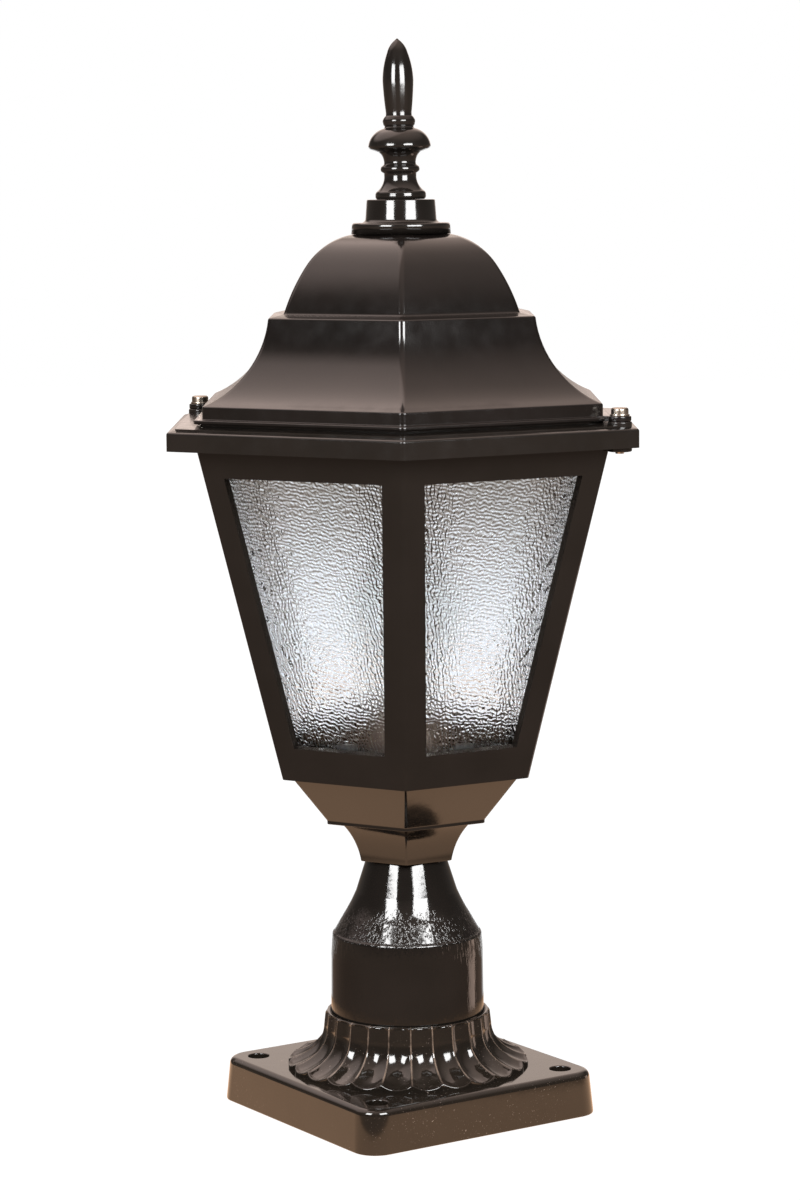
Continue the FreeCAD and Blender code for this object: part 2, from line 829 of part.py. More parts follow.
def make_spindle():
    def at(height):
        return spindle_level + height

    groove_low = (spindle_foot_height + spindle_ring_height) / 2
    groove_high = (spindle_ring_height + mushroom_height - mushroom_under_drop) / 2
    body = turned([
        (0, at(0)),
        (spindle_foot_radius, at(0)),
        (spindle_foot_radius, at(spindle_foot_height), -spindle_cove_bow),
        (spindle_groove_radius, at(groove_low)),
        (spindle_ring_radius, at(spindle_ring_height)),
        (spindle_groove_radius, at(groove_high)),
        (mushroom_under_radius, at(mushroom_height - mushroom_under_drop)),
        (mushroom_radius, at(mushroom_height)),
        (mushroom_radius, at(mushroom_height + mushroom_edge), mushroom_bow),
        (flame_neck_radius, at(mushroom_height + mushroom_edge + mushroom_rise)),
        (flame_neck_radius, at(bead_height - bead_reach)),
        (bead_radius, at(bead_height)),
        (flame_neck_radius, at(flame_neck_height), flame_lower_bow),
        (flame_radius, at(flame_widest_height), flame_upper_bow),
        (flame_shoulder_radius, at(flame_shoulder_height), tip_bow),
        (tip_radius, at(spindle_height)),
        (0, at(spindle_height)),
    ])
    return body.cut(disc(stud_radius + thread_clearance, spindle_level, stud_depth))


def stud_bottom_level():
    return cap_level - roof_wall - stud_washer_thickness - stud_nut_height - stud_tail


# Tie tube and lampholder

def make_holder_cap():
    cone_level = holder_level + holder_entry_height
    outer = turned([
        (0, holder_level),
        (holder_entry_radius, holder_level),
        (holder_entry_radius, cone_level),
        (holder_cap_radius, cone_level + holder_cone_height),
        (holder_cap_radius, holder_cap_top),
        (0, holder_cap_top),
    ])
    inner_radius = holder_cap_radius - holder_wall
    inner = turned([
        (0, tube_top_level),
        (holder_entry_radius, tube_top_level),
        (inner_radius, tube_top_level + holder_cone_height),
        (inner_radius, holder_cap_top),
        (0, holder_cap_top),
    ])
    entry = disc(tube_radius + thread_clearance, holder_level, tube_top_level - holder_level)
    return outer.cut(inner).cut(entry)


def make_holder_barrel():
    bottom = holder_level + holder_entry_height + holder_cone_height
    outer = turned([
        (0, bottom),
        (holder_radius, bottom),
        (holder_radius, holder_cap_top),
        (holder_top_radius, holder_top),
        (0, holder_top),
    ])
    clasp = disc(holder_cap_radius + thread_clearance, bottom, holder_cap_top - bottom)
    bore = disc(core_radius + thread_clearance, holder_cap_top, core_height)
    mouth = disc(shell_outer_radius() + thread_clearance, core_top, holder_top - core_top)
    return outer.cut(clasp).cut(bore).cut(mouth)


def shell_outer_radius():
    return lamp_cap_radius + thread_clearance + shell_wall


def terminal_places():
    return [on_plate(0, -terminal_spread), on_plate(0, terminal_spread)]


def make_holder_core():
    # The insulating disc that carries the contacts, held between the cap and the barrel
    body = disc(core_radius, holder_cap_top, core_height)
    for place in terminal_places():
        hole_radius = terminal_screw_radius + thread_clearance
        hole_level = core_top - terminal_screw_length
        body = body.cut(disc(hole_radius, hole_level, terminal_screw_length, place))
        body = body.cut(disc(lead_radius + seat_clearance, holder_cap_top, terminal_well_depth, place))
    return body


def make_holder_screw(place):
    shank = disc(terminal_screw_radius, core_top - terminal_screw_length, terminal_screw_length, place)
    return shank.fuse(disc(terminal_screw_head_radius, core_top, terminal_screw_head_height, place))


def make_contact():
    corner = Vector(-contact_length / 2, -contact_width / 2, core_top)
    strip = Part.makeBox(contact_length, contact_width, contact_thickness, corner)
    button = disc(contact_button_radius, core_top, contact_rise)
    return turned_with_plate(strip.fuse(button).removeSplitter())


# Lamp

def make_lamp_cap():
    bottom = lamp_level + lamp_contact_height + lamp_insulator_height
    inner = lamp_cap_radius - lamp_cap_wall
    return ring(lamp_cap_radius, inner, bottom, lamp_cap_length)


def make_lamp_insulator():
    bottom = lamp_level + lamp_contact_height
    top = bottom + lamp_insulator_height
    return turned([
        (0, bottom),
        (lamp_contact_radius, bottom),
        (lamp_insulator_radius, top - lamp_cap_wall),
        (lamp_cap_radius, top - lamp_cap_wall),
        (lamp_cap_radius, top),
        (0, top),
    ])


def make_bulb():
    shoulder_angle = math.radians(bulb_shoulder_angle)
    centre_height = bulb_height - bulb_radius
    sweep = math.pi / 2 + shoulder_angle

    def envelope(inset):
        radius = bulb_radius - inset
        neck = bulb_neck_radius - inset
        centre = lamp_cap_top + centre_height
        shoulder_radius = radius * math.cos(shoulder_angle)
        shoulder = centre - radius * math.sin(shoulder_angle)
        return turned([
            (0, lamp_cap_top + inset),
            (neck, lamp_cap_top + inset),
            (neck, lamp_cap_top + bulb_neck_height, -bulb_neck_bow),
            (shoulder_radius, shoulder, radius * (1 - math.cos(sweep / 2))),
            (0, centre + radius),
        ])

    return envelope(0).cut(envelope(bulb_wall))


def stem_foot_level():
    return lamp_cap_top + bulb_wall


def make_lamp_stem():
    # The glass foot inside the bulb that carries the filament
    foot = stem_foot_level()
    return turned([
        (0, foot),
        (stem_flare_radius, foot, -stem_flare_bow),
        (stem_radius, foot + stem_flare_height),
        (stem_radius, foot + stem_height),
        (0, foot + stem_height),
    ])


def make_filament():
    # Two wires that spread from the top of the stem, with the filament strung between them
    foot = stem_foot_level() + stem_height
    top = foot + filament_rise
    points = [
        Vector(-filament_foot_spread, 0, foot),
        Vector(-filament_span / 2, 0, top),
        Vector(filament_span / 2, 0, top),
        Vector(filament_foot_spread, 0, foot),
    ]
    path, _ = rounded_path(points, filament_bend_radius)
    section = Part.Wire(Part.makeCircle(filament_radius, points[0], points[1] - points[0]))
    wire = path.makePipeShell([section], True, False)
    return wire.cut(disc(stem_radius, foot - filament_radius, filament_radius))


# Wiring inside the base

def rounded_path(points, bend_radius):
    # Straight runs joined by tangent arcs, each as large as its runs allow, up to the bend radius
    edges = []
    start = points[0]
    radii = []
    for before, corner, after in zip(points, points[1:], points[2:]):
        back = (before - corner).normalize()
        ahead = (after - corner).normalize()
        half_turn = (math.pi - back.getAngle(ahead)) / 2
        shorter = min((before - corner).Length, (after - corner).Length)
        radius = min(bend_radius, lead_bend_share * shorter / math.tan(half_turn))
        tangent = radius * math.tan(half_turn)
        bisector = (back + ahead).normalize()
        middle = corner + bisector * (radius / math.cos(half_turn) - radius)
        arc_start = corner + back * tangent
        arc_end = corner + ahead * tangent
        edges.append(Part.LineSegment(start, arc_start).toShape())
        edges.append(Part.Arc(arc_start, middle, arc_end).toShape())
        start = arc_end
        radii.append(round(radius, 1))
    edges.append(Part.LineSegment(start, points[-1]).toShape())
    return Part.Wire(edges), radii


def make_lead(name, points):
    path, radii = rounded_path(points, lead_bend_radius)
    section = Part.Wire(Part.makeCircle(lead_radius, points[0], points[1] - points[0]))
    lead = path.makePipeShell([section], True, False)
    expected = math.pi * lead_radius ** 2 * path.Length
    share = round(lead.Volume / expected, 4)
    print(name, "bend radii", radii, "length", round(path.Length, 1), "volume share", share)
    return turned_with_plate(lead)


def way_level():
    return ceiling_level - block_height / 2


def supply_lead_points(side, way_y):
    # From the lampholder terminal, down the tie tube and out to one way of the terminal block
    block_face = block_reach - block_width / 2
    bend_level = tube_bottom_level - lead_drop
    return [
        Vector(0, side * terminal_spread, holder_cap_top + terminal_well_depth - seat_clearance),
        Vector(0, side * terminal_spread, holder_cap_top - terminal_well_depth),
        Vector(0, side * lead_spread, tube_top_level + lead_radius),
        Vector(0, side * lead_spread, bend_level),
        Vector(block_face - lead_straight, way_y, way_level()),
        Vector(block_face + block_well_depth - seat_clearance, way_y, way_level()),
    ]


def earth_lead_points():
    block_face = block_reach - block_width / 2
    corner_y = -block_pitch - earth_corner_drop
    end_y = earth_place_y + earth_tag_length + earth_barrel_stop
    tag_middle = earth_tag_level() + earth_tag_thickness / 2
    return [
        Vector(block_face + block_well_depth - seat_clearance, -block_pitch, way_level()),
        Vector(block_face - lead_straight, -block_pitch, way_level()),
        Vector(earth_place_x, corner_y, tag_middle),
        Vector(earth_place_x, end_y, tag_middle),
    ]


def earth_boss_level():
    return ceiling_level - earth_boss_height


def earth_tag_level():
    return earth_boss_level() - earth_tag_thickness


def way_places():
    return [-block_pitch, 0.0, block_pitch]


def block_screw_places():
    return [-block_pitch / 2, block_pitch / 2]


def make_terminal_block():
    low = Vector(block_reach - block_width / 2, -block_length / 2, ceiling_level - block_height)
    body = Part.makeBox(block_width, block_length, block_height, low)
    clamp_x = low.x + block_clamp_inset
    well_radius = lead_radius + seat_clearance
    clamp_bore = block_clamp_radius + thread_clearance
    for y in way_places():
        well_mouth = Vector(low.x, y, way_level())
        well = Part.makeCylinder(well_radius, block_well_depth, well_mouth, Vector(1, 0, 0))
        clamp = disc(clamp_bore, low.z, way_level() - low.z, Vector(clamp_x, y, 0))
        body = body.cut(well).cut(clamp)
    for y in block_screw_places():
        place = Vector(block_reach + block_clamp_inset, y, 0)
        body = body.cut(disc(block_screw_radius + seat_clearance, low.z, block_height, place))
    return turned_with_plate(body)


def make_clamp_screw(y):
    low = ceiling_level - block_height
    place = Vector(block_reach - block_width / 2 + block_clamp_inset, y, 0)
    length = way_level() - lead_radius - seat_clearance - low
    return turned_with_plate(disc(block_clamp_radius, low, length, place))


def make_block_screw(y):
    place = Vector(block_reach + block_clamp_inset, y, 0)
    low = ceiling_level - block_height
    shank = disc(block_screw_radius, low, block_height + block_screw_bite, place)
    head = disc(block_screw_head_radius, low - block_screw_head_height, block_screw_head_height, place)
    return turned_with_plate(head.fuse(shank))


def make_earth_tag():
    place = Vector(earth_place_x, earth_place_y, 0)
    level = earth_tag_level()
    low = Vector(earth_place_x - earth_tag_width / 2, earth_place_y - earth_tag_width / 2, level)
    plate = Part.makeBox(earth_tag_width, earth_tag_width / 2 + earth_tag_length, earth_tag_thickness, low)
    start = Vector(earth_place_x, earth_place_y + earth_tag_length, level + earth_tag_thickness / 2)
    bore_start = start + Vector(0, earth_barrel_stop, 0)
    along = Vector(0, 1, 0)
    barrel = Part.makeCylinder(earth_barrel_radius, earth_barrel_length, start, along)
    bore = Part.makeCylinder(lead_radius + thread_clearance, earth_barrel_length, bore_start, along)
    hole = disc(earth_screw_radius + seat_clearance, level, earth_tag_thickness, place)
    return turned_with_plate(plate.fuse(barrel).cut(bore).cut(hole).removeSplitter())


def make_earth_screw():
    place = Vector(earth_place_x, earth_place_y, 0)
    level = earth_tag_level()
    head = disc(earth_screw_head_radius, level - earth_screw_head_height, earth_screw_head_height, place)
    shank = disc(earth_screw_radius, level, earth_tag_thickness + earth_screw_bite, place)
    return turned_with_plate(head.fuse(shank))


def make_earth_boss():
    place = Vector(earth_place_x, earth_place_y, 0)
    boss = disc(earth_boss_radius, earth_boss_level(), earth_boss_height, place)
    return turned_with_plate(boss)


def base_screw_holes():
    # The blind holes for the earth screw and the terminal block's screws
    place = Vector(earth_place_x, earth_place_y, 0)
    holes = [disc(earth_screw_radius + thread_clearance, earth_boss_level(), earth_screw_bite, place)]
    for y in block_screw_places():
        place = Vector(block_reach + block_clamp_inset, y, 0)
        holes.append(disc(block_screw_radius + thread_clearance, ceiling_level, block_screw_bite, place))
    return turned_with_plate(Part.makeCompound(holes))


# All pieces, from the ground up

os.makedirs("parts", exist_ok=True)

save("base_plate", make_base())
save("column", make_column())
save("neck_collar", make_neck())
save("lower_bowl", make_bowl())
save("lantern_frame", make_frame())
save_group("frame_screws", [make_frame_screw(place) for place in frame_screw_places()])

pane = make_pane()
for azimuth, side_name in zip(side_azimuths, side_names):
    save("glass_pane_" + side_name, on_face(pane, azimuth))
lower_height, upper_height = clip_screw_heights()
clips = [make_clip(lower_height, 1), make_clip(upper_height, -1)]
screws = [make_clip_screw(lower_height), make_clip_screw(upper_height)]
save_group("pane_clips", [on_face(clip, azimuth) for azimuth in side_azimuths for clip in clips])
save_group("clip_screws", [on_face(screw, azimuth) for azimuth in side_azimuths for screw in screws])

save("roof", make_roof())
for azimuth, side_name in zip(ear_azimuths, ["right", "left"]):
    place = polar(ear_screw_circle, azimuth)
    washer = ring(
        roof_screw_washer_radius,
        roof_screw_radius + thread_clearance,
        roof_level + ear_thickness,
        roof_screw_washer_thickness,
        place,
    )
    save("roof_screw_" + side_name, make_roof_screw(azimuth))
    save("roof_washer_" + side_name, washer)

save("finial_cap", make_finial_cap())
save("finial_spindle", make_spindle())
stud_length = spindle_level + stud_depth - seat_clearance - stud_bottom_level()
save("finial_stud", disc(stud_radius, stud_bottom_level(), stud_length))
stud_washer_level = cap_level - roof_wall - stud_washer_thickness
stud_washer_bore = stud_radius + seat_clearance
save("finial_washer", ring(stud_washer_radius, stud_washer_bore, stud_washer_level, stud_washer_thickness))
stud_nut_level = stud_washer_level - stud_nut_height
save("finial_nut", nut(stud_nut_width, stud_nut_height, stud_radius + thread_clearance, stud_nut_level))

tube_length = tube_top_level - tube_bottom_level
save("tie_tube", ring(tube_radius, tube_bore_radius, tube_bottom_level, tube_length))
lower_washer_level = web_level - tube_washer_thickness
washer_bore = tube_radius + tube_clearance
save_group("tie_washers", [
    ring(tube_washer_radius, washer_bore, lower_washer_level, tube_washer_thickness),
    ring(tube_washer_radius, washer_bore, bowl_floor_level, tube_washer_thickness),
])
nut_bore = tube_radius + thread_clearance
save_group("tie_nuts", [
    nut(tube_nut_width, tube_nut_height, nut_bore, lower_washer_level - tube_nut_height),
    nut(tube_nut_width, tube_nut_height, nut_bore, tube_nut_level),
])

save("lampholder_cap", make_holder_cap())
save("lampholder_barrel", make_holder_barrel())
save("lampholder_core", make_holder_core())
shell_inner_radius = shell_outer_radius() - shell_wall
save("lampholder_shell", ring(shell_outer_radius(), shell_inner_radius, core_top, shell_height))
save("lampholder_contact", make_contact())
save_group("lampholder_screws", [make_holder_screw(place) for place in terminal_places()])

save("lamp_contact", disc(lamp_contact_radius, lamp_level, lamp_contact_height))
save("lamp_insulator", make_lamp_insulator())
save("lamp_cap", make_lamp_cap())
save("lamp_bulb", make_bulb())
save("lamp_stem", make_lamp_stem())
save("lamp_filament", make_filament())

save("live_lead", make_lead("live_lead", supply_lead_points(1, block_pitch)))
save("neutral_lead", make_lead("neutral_lead", supply_lead_points(-1, 0.0)))
save("earth_lead", make_lead("earth_lead", earth_lead_points()))
save("terminal_block", make_terminal_block())
save_group("clamp_screws", [make_clamp_screw(y) for y in way_places()])
save_group("block_screws", [make_block_screw(y) for y in block_screw_places()])
save("earth_tag", make_earth_tag())
save("earth_screw", make_earth_screw())
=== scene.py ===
import json
import math

import bmesh
import bpy
from mathutils import Matrix, Vector, noise


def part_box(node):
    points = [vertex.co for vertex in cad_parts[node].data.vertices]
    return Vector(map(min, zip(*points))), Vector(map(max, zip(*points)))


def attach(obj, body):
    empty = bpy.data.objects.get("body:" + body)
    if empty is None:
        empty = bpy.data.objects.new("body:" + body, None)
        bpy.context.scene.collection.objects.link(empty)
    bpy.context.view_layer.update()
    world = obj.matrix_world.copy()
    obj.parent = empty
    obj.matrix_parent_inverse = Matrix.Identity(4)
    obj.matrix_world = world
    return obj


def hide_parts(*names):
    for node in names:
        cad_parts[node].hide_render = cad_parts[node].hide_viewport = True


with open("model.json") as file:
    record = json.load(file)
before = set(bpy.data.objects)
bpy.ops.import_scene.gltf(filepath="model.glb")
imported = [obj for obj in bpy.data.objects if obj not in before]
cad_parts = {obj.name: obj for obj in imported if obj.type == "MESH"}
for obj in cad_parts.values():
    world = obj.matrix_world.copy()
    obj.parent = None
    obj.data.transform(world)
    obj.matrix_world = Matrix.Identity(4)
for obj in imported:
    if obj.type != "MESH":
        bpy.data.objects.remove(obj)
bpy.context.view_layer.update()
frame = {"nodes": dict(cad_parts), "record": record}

# Pieces are drawn in millimetres and brought to metres when they are finished.
# The head's front corner points to -Y; azimuths run from -Y towards +X.
millimetre = 0.001
flatShare = math.cos(math.radians(30.0))  # flat radius of a hexagon, for a corner radius of one
sideAzimuths = {
    "front_right": 30.0, "right": 90.0, "back_right": 150.0,
    "back_left": 210.0, "left": 270.0, "front_left": 330.0,
}
upAxis = Vector((0, 0, 1))
weld = 0.001  # points nearer than this become one
slack = 0.01  # how far an edge may be from the level or direction asked for
through = 1.0  # how far a cutter passes the face that it cuts
alike = 0.999  # cosine between two directions that count as one
creaseAngle = math.radians(50.0)
tubeHole = 5.3  # radius of the tie tube's hole


def lowOf(node):
    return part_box(node)[0][2] / millimetre


def highOf(node):
    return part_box(node)[1][2] / millimetre


def middleOf(node):
    low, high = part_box(node)
    return Vector(((low[0] + high[0]) / 2, (low[1] + high[1]) / 2, 0)) / millimetre


def polar(radius, azimuth, level=0.0):
    angle = math.radians(azimuth)
    return Vector((radius * math.sin(angle), -radius * math.cos(angle), level))


# Forms

def curved(outline, steps=10):
    # Points (radius, level); a third number bows the stretch to the next point out to its right
    points = []
    for here, following in zip(outline, outline[1:]):
        start, end = Vector(here[:2]), Vector(following[:2])
        points.append(start)
        if len(here) < 3:
            continue
        bow = here[2]
        chord = (end - start).length
        along = (end - start).normalized()
        outwards = Vector((along.y, -along.x))
        radius = (chord * chord / 4 + bow * bow) / (2 * abs(bow))
        for step in range(1, steps):
            reach = chord * step / steps
            rise = math.sqrt(radius * radius - (reach - chord / 2) ** 2) - (radius - abs(bow))
            points.append(start + along * reach + outwards * math.copysign(rise, bow))
    points.append(Vector(outline[-1][:2]))
    return points


def spun(points, steps, closed=False, azimuth=0.0):
    bm = bmesh.new()
    verts = [bm.verts.new(polar(point.x, azimuth, point.y)) for point in points]
    edges = [bm.edges.new(pair) for pair in zip(verts, verts[1:])]
    if closed:
        edges.append(bm.edges.new((verts[-1], verts[0])))
    bmesh.ops.spin(
        bm, geom=verts + edges, cent=(0, 0, 0), axis=upAxis, angle=2 * math.pi, steps=steps, use_merge=True,
    )
    bmesh.ops.remove_doubles(bm, verts=bm.verts, dist=weld)
    bmesh.ops.recalc_face_normals(bm, faces=bm.faces)
    return bm


def sixSided(outline, steps=10):
    # A closed outline of flat radii, turned into six flat sides
    corners = [Vector((point.x / flatShare, point.y)) for point in curved(outline, steps)]
    return spun(corners, 6, closed=True)


def cylinder(radius, low, high, place=Vector((0, 0, 0)), sides=48):
    bm = bmesh.new()
    bmesh.ops.create_cone(bm, cap_ends=True, segments=sides, radius1=radius, radius2=radius, depth=high - low)
    bmesh.ops.translate(bm, vec=(place.x, place.y, (low + high) / 2), verts=bm.verts)
    return bm


def block(width, length, height, middle):
    bm = bmesh.new()
    bmesh.ops.create_cube(bm, size=1.0)
    bmesh.ops.scale(bm, vec=(width, length, height), verts=bm.verts)
    bmesh.ops.translate(bm, vec=middle, verts=bm.verts)
    return bm


def turn(bm, degrees, axis="Z"):
    bmesh.ops.rotate(bm, cent=(0, 0, 0), matrix=Matrix.Rotation(math.radians(degrees), 3, axis), verts=bm.verts)
    return bm


def roundEdges(bm, edges, width, segments=3):
    bmesh.ops.bevel(
        bm, geom=list(edges), offset=width, offset_type="OFFSET", segments=segments, profile=0.5,
        affect="EDGES", clamp_overlap=True, material=-1,
    )
    return bm


def sharpEdges(bm, least=20.0):
    limit = math.radians(least)
    return [edge for edge in bm.edges if len(edge.link_faces) == 2 and edge.calc_face_angle() > limit]


def rimEdges(bm, level):
    return [edge for edge in bm.edges if all(abs(vert.co.z - level) < slack for vert in edge.verts)]


def isUpright(edge):
    # An arris runs in a plane through the axis, so its two ends have the same azimuth
    first, second = edge.verts[0].co, edge.verts[1].co
    return abs(first.x * second.y - first.y * second.x) < slack * first.xy.length * second.xy.length


def objectOf(bm, name):
    mesh = bpy.data.meshes.new(name)
    bm.to_mesh(mesh)
    bm.free()
    made = bpy.data.objects.new(name, mesh)
    bpy.context.scene.collection.objects.link(made)
    return made


def discard(carrier):
    mesh = carrier.data
    bpy.data.objects.remove(carrier)
    bpy.data.meshes.remove(mesh)


def joined(*shells):
    # Closed shells that stay separate inside one mesh
    whole = bmesh.new()
    for shell in shells:
        carrier = objectOf(shell, "carrier")
        whole.from_mesh(carrier.data)
        discard(carrier)
    return whole


def combined(first, second, operation):
    # One closed form joined to another, or cut by it
    carriers = [objectOf(first, "carrier"), objectOf(second, "carrier")]
    boolean = carriers[0].modifiers.new("combine", "BOOLEAN")
    boolean.object = carriers[1]
    boolean.operation = operation
    boolean.solver = "EXACT"
    result = bmesh.new()
    result.from_object(carriers[0], bpy.context.evaluated_depsgraph_get())
    for carrier in carriers:
        discard(carrier)
    return result


def finished(bm, name, material, body, nodes, weighted=True):
    bmesh.ops.scale(bm, vec=(millimetre, millimetre, millimetre), verts=bm.verts)
    for face in bm.faces:
        face.smooth = True
    piece = objectOf(bm, name)
    piece.data.materials.append(material)
    if weighted:
        piece.modifiers.new("flat sides stay flat", "WEIGHTED_NORMAL")
    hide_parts(*nodes)
    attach(piece, body)
    return piece


# Materials

def linearColour(hexText):
    channels = []
    for start in (0, 2, 4):
        value = int(hexText[start:start + 2], 16) / 255.0
        channels.append(value / 12.92 if value <= 0.04045 else ((value + 0.055) / 1.055) ** 2.4)
    return (*channels, 1.0)


def addNode(tree, kind, settings=None, links=None):
    # Settings go to sockets by name or number, to the colour ramp's stops, or else to the node itself.
    # A link comes from a socket, or from the first output of a node.
    # MapRange takes sockets 1 to 2 as the range it reads, and 3 to 4 as the range it gives.
    node = tree.nodes.new("ShaderNode" + kind)
    for key, value in (settings or {}).items():
        if key == "stops":
            elements = node.color_ramp.elements
            while len(elements) < len(value):
                elements.new(0.5)
            for element, (position, colour) in zip(elements, value):
                element.position = position
                element.color = linearColour(colour)
        elif isinstance(key, int) or key in node.inputs:
            node.inputs[key].default_value = value
        else:
            setattr(node, key, value)
    for key, source in (links or {}).items():
        tree.links.new(getattr(source, "outputs", [source])[0], node.inputs[key])
    return node


def newMaterial(name):
    material = bpy.data.materials.new(name)
    material.use_nodes = True
    tree = material.node_tree
    tree.nodes.clear()
    return material, tree, {"Vector": addNode(tree, "TexCoord").outputs["Object"]}


def surfaced(material, shader):
    addNode(material.node_tree, "OutputMaterial", links={"Surface": shader})
    return material


def perMillimetre(size):
    return 1.0 / (size * millimetre)  # the scale that gives a pattern features of this size


def mottled(tree, place, size, shades, detail=2.0, reach=(0.3, 0.7)):
    # A pattern that drifts between two close shades, and its colour
    pattern = addNode(tree, "TexNoise", {"Scale": perMillimetre(size), "Detail": detail}, place)
    return pattern, addNode(tree, "ValToRGB", {"stops": list(zip(reach, shades))}, {"Fac": pattern})


enamel = {
    "shades": ("0E0C0A", "14110F"), "shadeSize": 30.0, "ior": 1.5,
    "castingSize": 14.0, "castingDepth": 0.08, "peelSize": 1.8, "peelDepth": 0.005,
    "glossSize": 9.0, "glossiest": 0.8, "dullest": 1.25,
    "dust": "8C8078", "dustSize": 0.9, "dustGrains": (0.66, 0.74), "patchSize": 22.0, "patches": (0.45, 0.7),
}


def stovedEnamel(name, roughness, casting, peel=1.0, dust=0.0, shades=enamel["shades"], strokes=None, paintedHighlight=None):
    # Brown stoving enamel over sand-cast aluminium: a hard shine over a near-black brown, orange peel from
    # the spray gun, and the slow waves of the casting under it
    material, tree, place = newMaterial(name)
    colour = mottled(tree, place, enamel["shadeSize"], shades, 4.0)[1]
    normal = None
    for size, detail, depth in (
        (enamel["castingSize"], 3.0, enamel["castingDepth"] * casting),
        (enamel["peelSize"], 1.0, enamel["peelDepth"] * peel),
    ):
        links = {"Height": addNode(tree, "TexNoise", {"Scale": perMillimetre(size), "Detail": detail}, place)}
        if normal:
            links["Normal"] = normal
        normal = addNode(tree, "Bump", {"Distance": depth * millimetre}, links)
    if strokes:
        normal = strokes(tree, place, normal)
    gloss = addNode(tree, "TexNoise", {"Scale": perMillimetre(enamel["glossSize"]), "Detail": 5.0}, place)
    uneven = addNode(tree, "MapRange", {
        1: 0.3, 2: 0.7, 3: roughness * enamel["glossiest"], 4: roughness * enamel["dullest"],
    }, {0: gloss})
    if dust:
        grains = addNode(tree, "TexNoise", {"Scale": perMillimetre(enamel["dustSize"]), "Roughness": 0.7}, place)
        patches = addNode(tree, "TexNoise", {"Scale": perMillimetre(enamel["patchSize"])}, place)
        low, high = enamel["dustGrains"]
        speck = addNode(tree, "MapRange", {1: low, 2: high, 4: dust}, {0: grains})
        low, high = enamel["patches"]
        where = addNode(tree, "MapRange", {1: low, 2: high}, {0: patches})
        amount = addNode(tree, "Math", {"operation": "MULTIPLY"}, {0: speck, 1: where})
        colour = addNode(tree, "MixRGB", {"Color2": linearColour(enamel["dust"])}, {"Fac": amount, "Color1": colour})
    # A painted highlight, given as a function, is mixed into the colour here
    if paintedHighlight:
        colour = paintedHighlight(tree, place, colour)
    shader = addNode(tree, "BsdfPrincipled", {"IOR": enamel["ior"]}, {
        "Base Color": colour, "Roughness": uneven, "Normal": normal,
    })
    return surfaced(material, shader)


def plainMaterial(name, shades, size, roughness, bumpSize, bumpDepth, metallic=0.0, stretch=None):
    # A finish of two close shades, with its own roughness and fine relief; a metal keeps the default IOR
    material, tree, place = newMaterial(name)
    if stretch:
        place = {"Vector": addNode(tree, "Mapping", {"Scale": stretch}, place)}
    pattern, colour = mottled(tree, place, size, shades, 4.0)
    relief = addNode(tree, "TexNoise", {"Scale": perMillimetre(bumpSize)}, place)
    normal = addNode(tree, "Bump", {"Distance": bumpDepth * millimetre}, {"Height": relief})
    uneven = addNode(tree, "MapRange", {1: 0.3, 2: 0.7, 3: roughness * 0.8, 4: roughness * 1.2}, {0: pattern})
    shader = addNode(tree, "BsdfPrincipled", {"Metallic": metallic} if metallic else {"IOR": 1.5}, {
        "Base Color": colour, "Roughness": uneven, "Normal": normal,
    })
    return surfaced(material, shader)


def sodaGlass(name, shades, roughness, streakSize, ior=1.52, cells=None):
    # Clear soda-lime glass: colourless through its face; hammered glass also has small slanting cells
    material, tree, place = newMaterial(name)
    links = {"Base Color": mottled(tree, place, streakSize, shades)[1]}
    if cells:
        slanting = addNode(tree, "Mapping", {
            "Rotation": (0.0, math.radians(cells["angle"]), 0.0), "Scale": (cells["squeeze"], 1.0, 1.0),
        }, place)
        scale = perMillimetre(cells["size"])
        dents = addNode(tree, "TexNoise", {"Scale": scale, "Detail": 0.5}, {"Vector": slanting})
        links["Normal"] = addNode(tree, "Bump", {"Distance": cells["depth"] * millimetre}, {"Height": dents})
    shader = addNode(tree, "BsdfPrincipled", {
        "Roughness": roughness, "IOR": ior, "Transmission Weight": 1.0,
    }, links)
    return surfaced(material, shader)


def stripedVinyl(name, shades, stripeSize):
    # Insulation with a second colour in a stripe that runs the length of the lead
    material, tree, place = newMaterial(name)
    bands = addNode(tree, "TexWave", {
        "Scale": perMillimetre(stripeSize), "Distortion": 0.6, "Detail": 1.0, "bands_direction": "DIAGONAL",
    }, place).outputs["Fac"]
    colour = addNode(tree, "ValToRGB", {"stops": [(0.46, shades[0]), (0.54, shades[1])]}, {"Fac": bands})
    grain = addNode(tree, "TexNoise", {"Scale": perMillimetre(1.0)}, place)
    normal = addNode(tree, "Bump", {"Distance": 0.008 * millimetre}, {"Height": grain})
    shader = addNode(tree, "BsdfPrincipled", {"Roughness": 0.42, "IOR": 1.5}, {
        "Base Color": colour, "Normal": normal,
    })
    return surfaced(material, shader)


cagePaint = stovedEnamel("stovedEnamelCage", 0.16, 0.6)
bowlPaint = stovedEnamel("stovedEnamelBowl", 0.09, 0.5)
roofPaint = stovedEnamel("stovedEnamelRoof", 0.15, 0.35, shades=("0A0807", "0F0C0B"))
finialPaint = stovedEnamel("stovedEnamelFinial", 0.11, 1.5, peel=2.5)
hammeredGlass = sodaGlass("hammeredGlass", ("F9FCFC", "FDFEFE"), 0.03, 30.0, cells={
    "size": 1.25, "angle": 44.0, "squeeze": 0.5, "depth": 0.05,
})
lampGlass = sodaGlass("blownGlass", ("F8FAF9", "FDFDFD"), 0.0, 20.0, ior=1.12)  # the thin wall hardly bends light
nickelPlate = plainMaterial("nickelPlate", ("948B80", "B0A89E"), 3.0, 0.26, 0.8, 0.004, metallic=1.0)
zincPlate = plainMaterial("zincPlate", ("8D9092", "A8ABAE"), 2.0, 0.38, 0.6, 0.006, metallic=1.0)
yellowBrass = plainMaterial("yellowBrass", ("A9853F", "C9A45A"), 4.0, 0.3, 0.8, 0.004, metallic=1.0)
